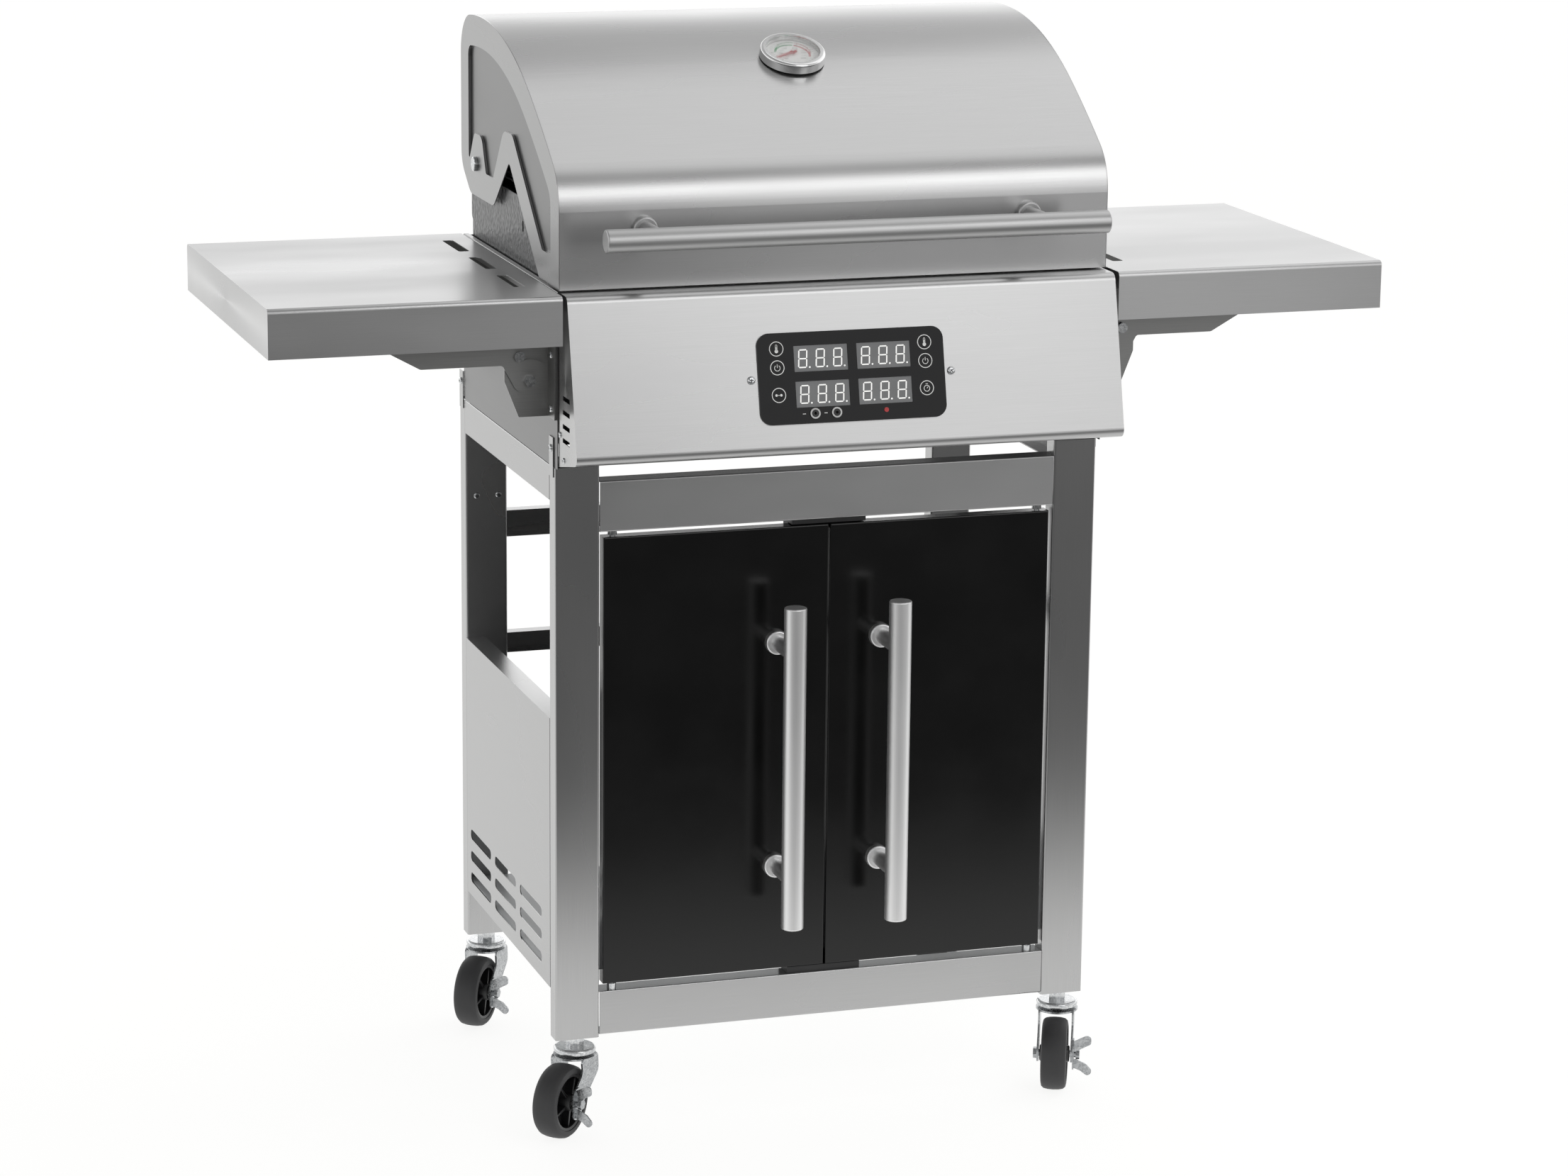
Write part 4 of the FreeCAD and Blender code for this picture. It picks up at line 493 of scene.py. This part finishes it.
# ceramic print is fired onto the glass, so it is flat white with a dull edge
white_print = moulded_plastic("white_ceramic_print", "#fafaf8", "#f0f0ee", (0.35, 0.45), 0.003)
button_x, button_rows = 80.7, (31.0, 11.6, -16.7)
button_radius, button_line = 7.3, 0.8
print_loops = []
for side, symbols in ((-1, (probe_symbol, power_symbol, pair_symbol)),
                      (1, (probe_symbol, power_symbol, timer_symbol))):
    for y, symbol in zip(button_rows, symbols):
        x = side * button_x
        print_loops += ring(x, y, button_radius, button_line) + symbol(x, y)
socket_row, socket_x = -37.1, (-42.8, -19.4)
for x in socket_x:
    print_loops += stroke([(x - 13.3, socket_row), (x - 9.9, socket_row)], 0.7)
flat_mesh("glass_print", [(points, 0.0) for points in print_loops], 0.05, white_print, panel_frame,
          "cart")

socket_dark = moulded_plastic("dark_jack_contact_plastic", "#18181a", "#101012", (0.4, 0.5), 0.002)


def annulus(cx, cy, inner, outer, base):
    """A flat ring as closed loops, one for every 15 degrees."""
    loops = []
    for start in range(0, 360, 15):
        far = arc(cx, cy, outer, start, start + 15, 2)
        near = arc(cx, cy, inner, start, start + 15, 2)
        loops.append((far + near[::-1], base))
    return loops


# a washer on the face of each socket, and a thin dark sleeve in its bore that stands for the shade in the deep
# hole: painted shade
socket_face, bore_floor = 1.55, -6.9
washers, sleeves = [], []
for x in socket_x:
    washers += annulus(x, socket_row, 1.85, 3.9, socket_face)
    sleeves += annulus(x, socket_row, 1.73, 1.79, bore_floor)
flat_mesh("jack_insulators", washers, 0.08, socket_dark, panel_frame, "cart")
flat_mesh("jack_bore_painted_shade", sleeves, 8.48, socket_dark, panel_frame, "cart")

# the lamp is a glossy red dome of cast resin
lamp_red = moulded_plastic("red_lamp_lens", "#c8171b", "#a51015", (0.15, 0.22), 0.004)
lamp_x, lamp_radius = 35.0, 2.5
lamp_disc = arc(lamp_x, socket_row, lamp_radius, 0, 348, 28)
flat_mesh("lamp_lens", [(lamp_disc, -0.2)], 1.0, lamp_red, panel_frame, "cart")

# ---------------------------------------------------------------- mains gland
# A screwed black plastic gland in the back of the casing. Its nut clamps the sheet from inside, and
# its moulded grain looks even and dull.
dress(black_abs, "mains_gland")

# ---------------------------------------------------------------- hood
# A rolled stainless wrap, brushed from side to side, between pressed end plates. It turns on two
# shoulder bolts in the firebox ends.
hood_steel = brushed_stainless("stainless_brushed_hood", "X", "#b2b2b2", "#bababa", (0.24, 0.31))
dress(hood_steel, "hood_shell")
pressed_ends = brushed_stainless("stainless_pressed_hood_ends", "Y", rough=(0.24, 0.32))
# the sunk panel is multiplied down to #868686 and the rim to #c6c6c6 as painted shade on the end plates, and the
# ridge between them keeps the full stainless grey as a painted highlight line
tree = pressed_ends.node_tree
shader = tree.nodes["Principled BSDF"]
brushed_colour = shader.inputs["Base Color"].links[0].from_socket
place = add(tree, "ShaderNodeTexCoord").outputs["Object"]
side_x = add(tree, "ShaderNodeSeparateXYZ", {"Vector": place}).outputs["X"]
reach = add(tree, "ShaderNodeMath", {0: side_x}, operation="ABSOLUTE")
low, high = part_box("hood_end_left")
outer_face, ridge_depth = -low.x, 0.003
level = add(tree, "ShaderNodeMapRange", {"Value": reach.outputs[0], "From Min": outer_face - ridge_depth,
                                         "From Max": outer_face})
ridge_highlight_panel_shade = add(tree, "ShaderNodeValToRGB", {"Fac": level.outputs["Result"]})
ridge_highlight_panel_shade.color_ramp.elements[0].color = linear("#868686")
ridge_highlight_panel_shade.color_ramp.elements[1].color = linear("#c6c6c6")
for position, shade_hex in ((0.10, "#868686"), (0.2, "#ffffff"), (0.8, "#ffffff"), (0.9, "#c6c6c6")):
    ridge_highlight_panel_shade.color_ramp.elements.new(position).color = linear(shade_hex)
painted_ridge_shade_colour = add(tree, "ShaderNodeMix", {"Factor": 1.0}, data_type="RGBA", blend_type="MULTIPLY")
tree.links.new(brushed_colour, painted_ridge_shade_colour.inputs[6])
tree.links.new(ridge_highlight_panel_shade.outputs["Color"], painted_ridge_shade_colour.inputs[7])
tree.links.new(painted_ridge_shade_colour.outputs[2], shader.inputs["Base Color"])
dress(pressed_ends, "hood_end_left", "hood_end_right")
dress(bright_zinc, "hood_pivot_bolts")

# ---------------------------------------------------------------- thermometer
# A dial thermometer: polished bezel, flat glass, and a light printed dial with a green and a red
# arc and a red pointer on a bimetal coil.
bezel_steel = brushed_stainless("stainless_turned_bezel", "Z", "#cacaca", "#dadada", (0.09, 0.14))
dress(bezel_steel, "thermometer_case")
dress(painted("red_pointer_paint", "#b3141a", "#99060c", (0.3, 0.4)), "thermometer_needle")

clear_glass, tree, shader, place = new_material("clear_dial_glass")
# flat watch glass with a trace of dust that dulls it here and there
dust = add(tree, "ShaderNodeTexNoise", {"Vector": place, "Scale": 120.0, "Detail": 4.0})
haze = add(tree, "ShaderNodeMapRange", {"Value": dust.outputs["Fac"], "From Min": 0.5, "From Max": 0.8,
                                        "To Min": 0.01, "To Max": 0.08})
tree.links.new(haze.outputs[0], shader.inputs["Roughness"])
shader.inputs["Transmission Weight"].default_value = 1.0
shader.inputs["IOR"].default_value = 1.45
shader.inputs["Base Color"].default_value = (0.98, 0.99, 0.99, 1)
shader.inputs["Alpha"].default_value = 0.35
dress(clear_glass, "thermometer_lens")

low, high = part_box("thermometer_lens")
joints = {j["name"]: j for j in frame["joints"]}
dial_out = -Vector(joints["thermometer_needle_turn"]["axis"]).normalized()
dial_up = Vector((0, dial_out.z, -dial_out.y))
dial_frame = Matrix((Vector((1, 0, 0)), dial_up, dial_out)).transposed().to_4x4()
dial_frame.translation = 0.5 * (low + high)
# the dial is screen-printed on a satin white plate, with flat inks
dial_paper = painted("printed_dial_face", "#f6f6f4", "#f0f0ee", (0.4, 0.5))
dial_ink = painted("black_dial_ink", "#1b1b1c", "#141415", (0.4, 0.5))
dial_green = painted("green_dial_ink", "#2f9a5b", "#258a4d", (0.4, 0.5))
dial_red = painted("red_dial_ink", "#c5262c", "#b21d23", (0.4, 0.5))
face_level = -5.0
flat_mesh("dial_face", [(arc(0, 0, 28.6, 0, 355, 72), face_level)], 0.2, dial_paper, dial_frame, "hood")
ink_level = face_level + 0.2
tick_count, major_every = 26, 5
scale_start, scale_sweep, tick_outer = 225, 270, 24.6
ticks = []
for i in range(tick_count):
    angle = math.radians(scale_start - i * scale_sweep / (tick_count - 1))
    inner, width = (20.6, 0.55) if i % major_every == 0 else (22.4, 0.3)
    ticks += stroke([(inner * math.cos(angle), inner * math.sin(angle)),
                     (tick_outer * math.cos(angle), tick_outer * math.sin(angle))], width)
flat_mesh("dial_ticks", [(points, ink_level) for points in ticks], 0.06, dial_ink, dial_frame,
          "hood")
band_radius, band_width = 18.6, 2.4
for name, start, end, ink in (("dial_green_arc", 165, 75, dial_green),
                              ("dial_red_arc", 70, -20, dial_red)):
    band = stroke(arc(0, 0, band_radius, start, end), band_width)
    flat_mesh(name, [(points, ink_level) for points in band], 0.05, ink, dial_frame, "hood")
number_circle, number_height, number_step = 13.2, 4.2, 54
numbers = []
for i in range(6):
    text = bpy.data.curves.new(f"number_{i}", "FONT")
    text.body = str(50 * (i + 1))
    text.size = number_height * MM
    text.align_x, text.align_y = "CENTER", "CENTER"
    letter = link(bpy.data.objects.new(f"number_{i}", text))
    angle = math.radians(scale_start - i * number_step)
    letter.location = (number_circle * MM * math.cos(angle), number_circle * MM * math.sin(angle), 0)
    numbers.append(letter)
bpy.context.view_layer.update()
bm = bmesh.new()
for letter in numbers:
    mesh = bpy.data.meshes.new_from_object(letter)
    mesh.transform(letter.matrix_world)
    bm.from_mesh(mesh)
    bpy.data.objects.remove(letter)
for vert in bm.verts:
    vert.co.z = (ink_level + 0.06) * MM
mesh = bpy.data.meshes.new("dial_numbers")
bm.to_mesh(mesh)
bm.free()
mesh.materials.append(dial_ink)
dial_numbers = link(bpy.data.objects.new("dial_numbers", mesh))
dial_numbers.matrix_world = dial_frame
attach(dial_numbers, "hood")

# ---------------------------------------------------------------- side shelves
# Deep-folded stainless shelves, brushed from side to side, on folding brackets of plain steel. The
# brackets are bolted to the casing and keep their dull grey rolled skin.
shelf_steel = brushed_stainless("stainless_brushed_shelf", "X", "#b2b2b2", "#bababa", (0.25, 0.34))
dress(shelf_steel, "shelf_left", "shelf_right")
bracket_steel = brushed_stainless("mill_finish_bracket_steel", "X", "#8b8b8a", "#9a9a99",
                                  (0.30, 0.42), 0.4)
dress(bracket_steel, "shelf_arms_left", "shelf_arms_right", "shelf_supports")
dress(bright_zinc, "shelf_bolts")

# ---------------------------------------------------------------- casters
# Pressed zinc-plated forks on ball races. Each wheel is a dark grey rubber tyre on a black nylon
# hub with spokes, and a two-winged lever rocks on the axle to lock it.
tyre_rubber = moulded_plastic("grey_thermoplastic_rubber", "#303031", "#242425", (0.5, 0.68), 0.0016)
nylon_hub = moulded_plastic("black_nylon_hub", "#1c1c1d", "#121213", (0.3, 0.42), 0.0012)


def lathe(bm, profile, steps=72):
    """Revolves a closed (radius, along) profile in mm about the local Z axis."""
    rings = []
    for i in range(steps):
        turn = math.tau * i / steps
        rings.append([bm.verts.new((r * MM * math.cos(turn), r * MM * math.sin(turn), z * MM))
                      for r, z in profile])
    for i in range(steps):
        a, b = rings[i], rings[(i + 1) % steps]
        for k in range(len(profile)):
            m = (k + 1) % len(profile)
            bm.faces.new((a[k], b[k], b[m], a[m]))


def smooth_piece(name, bm, material, place, body):
    """A turned or moulded piece with softened edges, riding on its body."""
    bmesh.ops.recalc_face_normals(bm, faces=bm.faces)
    mesh = bpy.data.meshes.new(name)
    bm.to_mesh(mesh)
    bm.free()
    mesh.polygons.foreach_set("use_smooth", [True] * len(mesh.polygons))
    mesh.materials.append(material)
    obj = link(bpy.data.objects.new(name, mesh))
    edge = obj.modifiers.new("soft_edges", "BEVEL")
    edge.width, edge.segments, edge.limit_method = 0.5 * MM, 2, "ANGLE"
    edge.angle_limit = math.radians(35)
    edge.harden_normals = True
    obj.matrix_world = place
    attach(obj, body)
    return obj


spoke_count = 5
pressed_zinc = zinc_plate("zinc_plated_pressing", "#8e9092", "#bcbebf", 0.0018, (0.20, 0.32))
for end in ("front_left", "front_right", "rear_left", "rear_right"):
    dress(pressed_zinc, "caster_fork_" + end, "caster_brake_" + end)
    roll_joint = joints["caster_roll_" + end]
    axis = Vector(roll_joint["axis"]).normalized()
    side = axis.cross(Vector((0, 0, 1))).normalized()
    place = Matrix((side, axis.cross(side), axis)).transposed().to_4x4()
    place.translation = Vector(roll_joint["pos_m"])
    bm = bmesh.new()
    crown = [(30.8, -13.6), (33.0, -14.0), (36.6, -13.2), (38.8, -10.5), (39.7, -6.0), (40.0, -0.6),
             (40.0, 0.6), (39.7, 6.0), (38.8, 10.5), (36.6, 13.2), (33.0, 14.0), (30.8, 13.6)]
    lathe(bm, crown, 96)
    tyre = smooth_piece("tyre_" + end, bm, tyre_rubber, place, "wheel_" + end)
    bm = bmesh.new()
    lathe(bm, [(27.6, -12.2), (30.9, -12.8), (30.9, 12.8), (27.6, 12.2), (27.0, 2.2), (27.0, -2.2)])
    lathe(bm, [(4.1, -16.4), (8.4, -16.4), (9.0, -15.6), (9.6, -2.0), (27.4, -1.6), (27.4, 1.6),
               (9.6, 2.0), (9.0, 15.6), (8.4, 16.4), (4.1, 16.4)])
    for i in range(spoke_count):
        turn = Matrix.Rotation(math.tau * i / spoke_count + math.radians(20), 4, "Z")
        for face in (-1, 1):
            corners = [(8.6, -1.6), (28.2, -1.1), (28.2, 1.1), (8.6, 1.6)]
            z0, z1, z2 = face * 1.4, face * 12.0, face * 9.6
            lower = [bm.verts.new(turn @ Vector((x * MM, y * MM, z0 * MM))) for x, y in corners]
            upper = [bm.verts.new(turn @ Vector((x * MM, y * MM, (z1 if x < 20 else z2) * MM)))
                     for x, y in corners]
            bm.faces.new(upper)
            for k in range(4):
                m = (k + 1) % 4
                bm.faces.new((lower[k], lower[m], upper[m], upper[k]))
    smooth_piece("hub_" + end, bm, nylon_hub, place, "wheel_" + end)
    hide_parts("caster_wheel_" + end)
dress(bright_zinc, "caster_stems")

# ---------------------------------------------------------------- screws
# Zinc-plated pan heads with a cross recess, each turned to a stop of its own. The plating looks bright on the
# dome; the cross is a flat dark zinc shape laid on it as painted shade for the recess.


def islands(name):
    """Seat, facing direction, radius and height of each separate solid, ordered by place."""
    bm = bmesh.new()
    bm.from_mesh(frame["nodes"][name].data)
    bmesh.ops.remove_doubles(bm, verts=bm.verts, dist=0.00001)
    left = set(bm.verts)
    found = []
    for start in bm.verts:
        if start not in left:
            continue
        left.remove(start)
        stack, group = [start], []
        while stack:
            vert = stack.pop()
            group.append(vert)
            for edge in vert.link_edges:
                other = edge.other_vert(vert)
                if other in left:
                    left.remove(other)
                    stack.append(other)
        faces = dict.fromkeys(face for vert in group for face in vert.link_faces)
        largest = {}
        for face in faces:
            key = tuple(round(c, 2) for c in face.normal)
            largest[key] = largest.get(key, 0.0) + face.calc_area()
        found.append((group, largest))
    result = []
    for group, areas in found:
        centre = sum((vert.co for vert in group), Vector()) / len(group)
        back_normal = Vector(max(areas, key=areas.get)).normalized()
        arms = [vert.co - centre for vert in group]
        extent = [arm.dot(-back_normal) for arm in arms]
        radius = max((arm - back_normal * arm.dot(back_normal)).length for arm in arms)
        seat = centre - back_normal * min(extent)
        result.append((seat, -back_normal, radius, max(extent) - min(extent)))
    bm.free()
    return sorted(result, key=lambda solid: [round(c / MM) for c in solid[0]])


# dark zinc for the crosses: painted shade in the recesses
recess_painted_shade = zinc_plate("screw_recess_painted_shade", "#4a4b4c", "#5c5d5e", 0.001, (0.5, 0.6))
for index, (base, facing, radius, height) in enumerate(islands("frame_screws")):
    turn = facing.to_track_quat("Z", "Y").to_matrix().to_4x4()
    turn.translation = base
    spin = Matrix.Rotation(math.radians(37 * index), 4, "Z")
    bm = bmesh.new()
    r, h = radius / MM, height / MM
    steps = 36
    turns = [math.tau * i / steps for i in range(steps)]
    dome = [(0.35 * r, 0.99 * h), (0.62 * r, 0.93 * h), (0.85 * r, 0.76 * h), (0.97 * r, 0.48 * h),
            (r, 0.22 * h), (r, 0.0)]
    rings = [[bm.verts.new((a * MM * math.cos(t), a * MM * math.sin(t), z * MM)) for t in turns]
             for a, z in dome]
    top = bm.verts.new((0, 0, h * MM))
    for i in range(steps):
        j = (i + 1) % steps
        bm.faces.new((top, rings[0][i], rings[0][j]))
        for a, b in zip(rings, rings[1:]):
            bm.faces.new((a[i], b[i], b[j], a[j]))
    head = smooth_piece(f"screw_head_{index}", bm, bright_zinc, turn @ spin, "cart")
    arm, wide = 0.48 * r, 0.11 * r
    cross = [(-wide, -arm), (wide, -arm), (wide, -wide), (arm, -wide), (arm, wide), (wide, wide),
             (wide, arm), (-wide, arm), (-wide, wide), (-arm, wide), (-arm, -wide), (-wide, -wide)]
    flat_mesh(f"screw_cross_{index}", [(cross, 0.8 * h)], 0.22 * h, recess_painted_shade, turn @ spin, "cart")
    if index == 0:
        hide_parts("frame_screws")
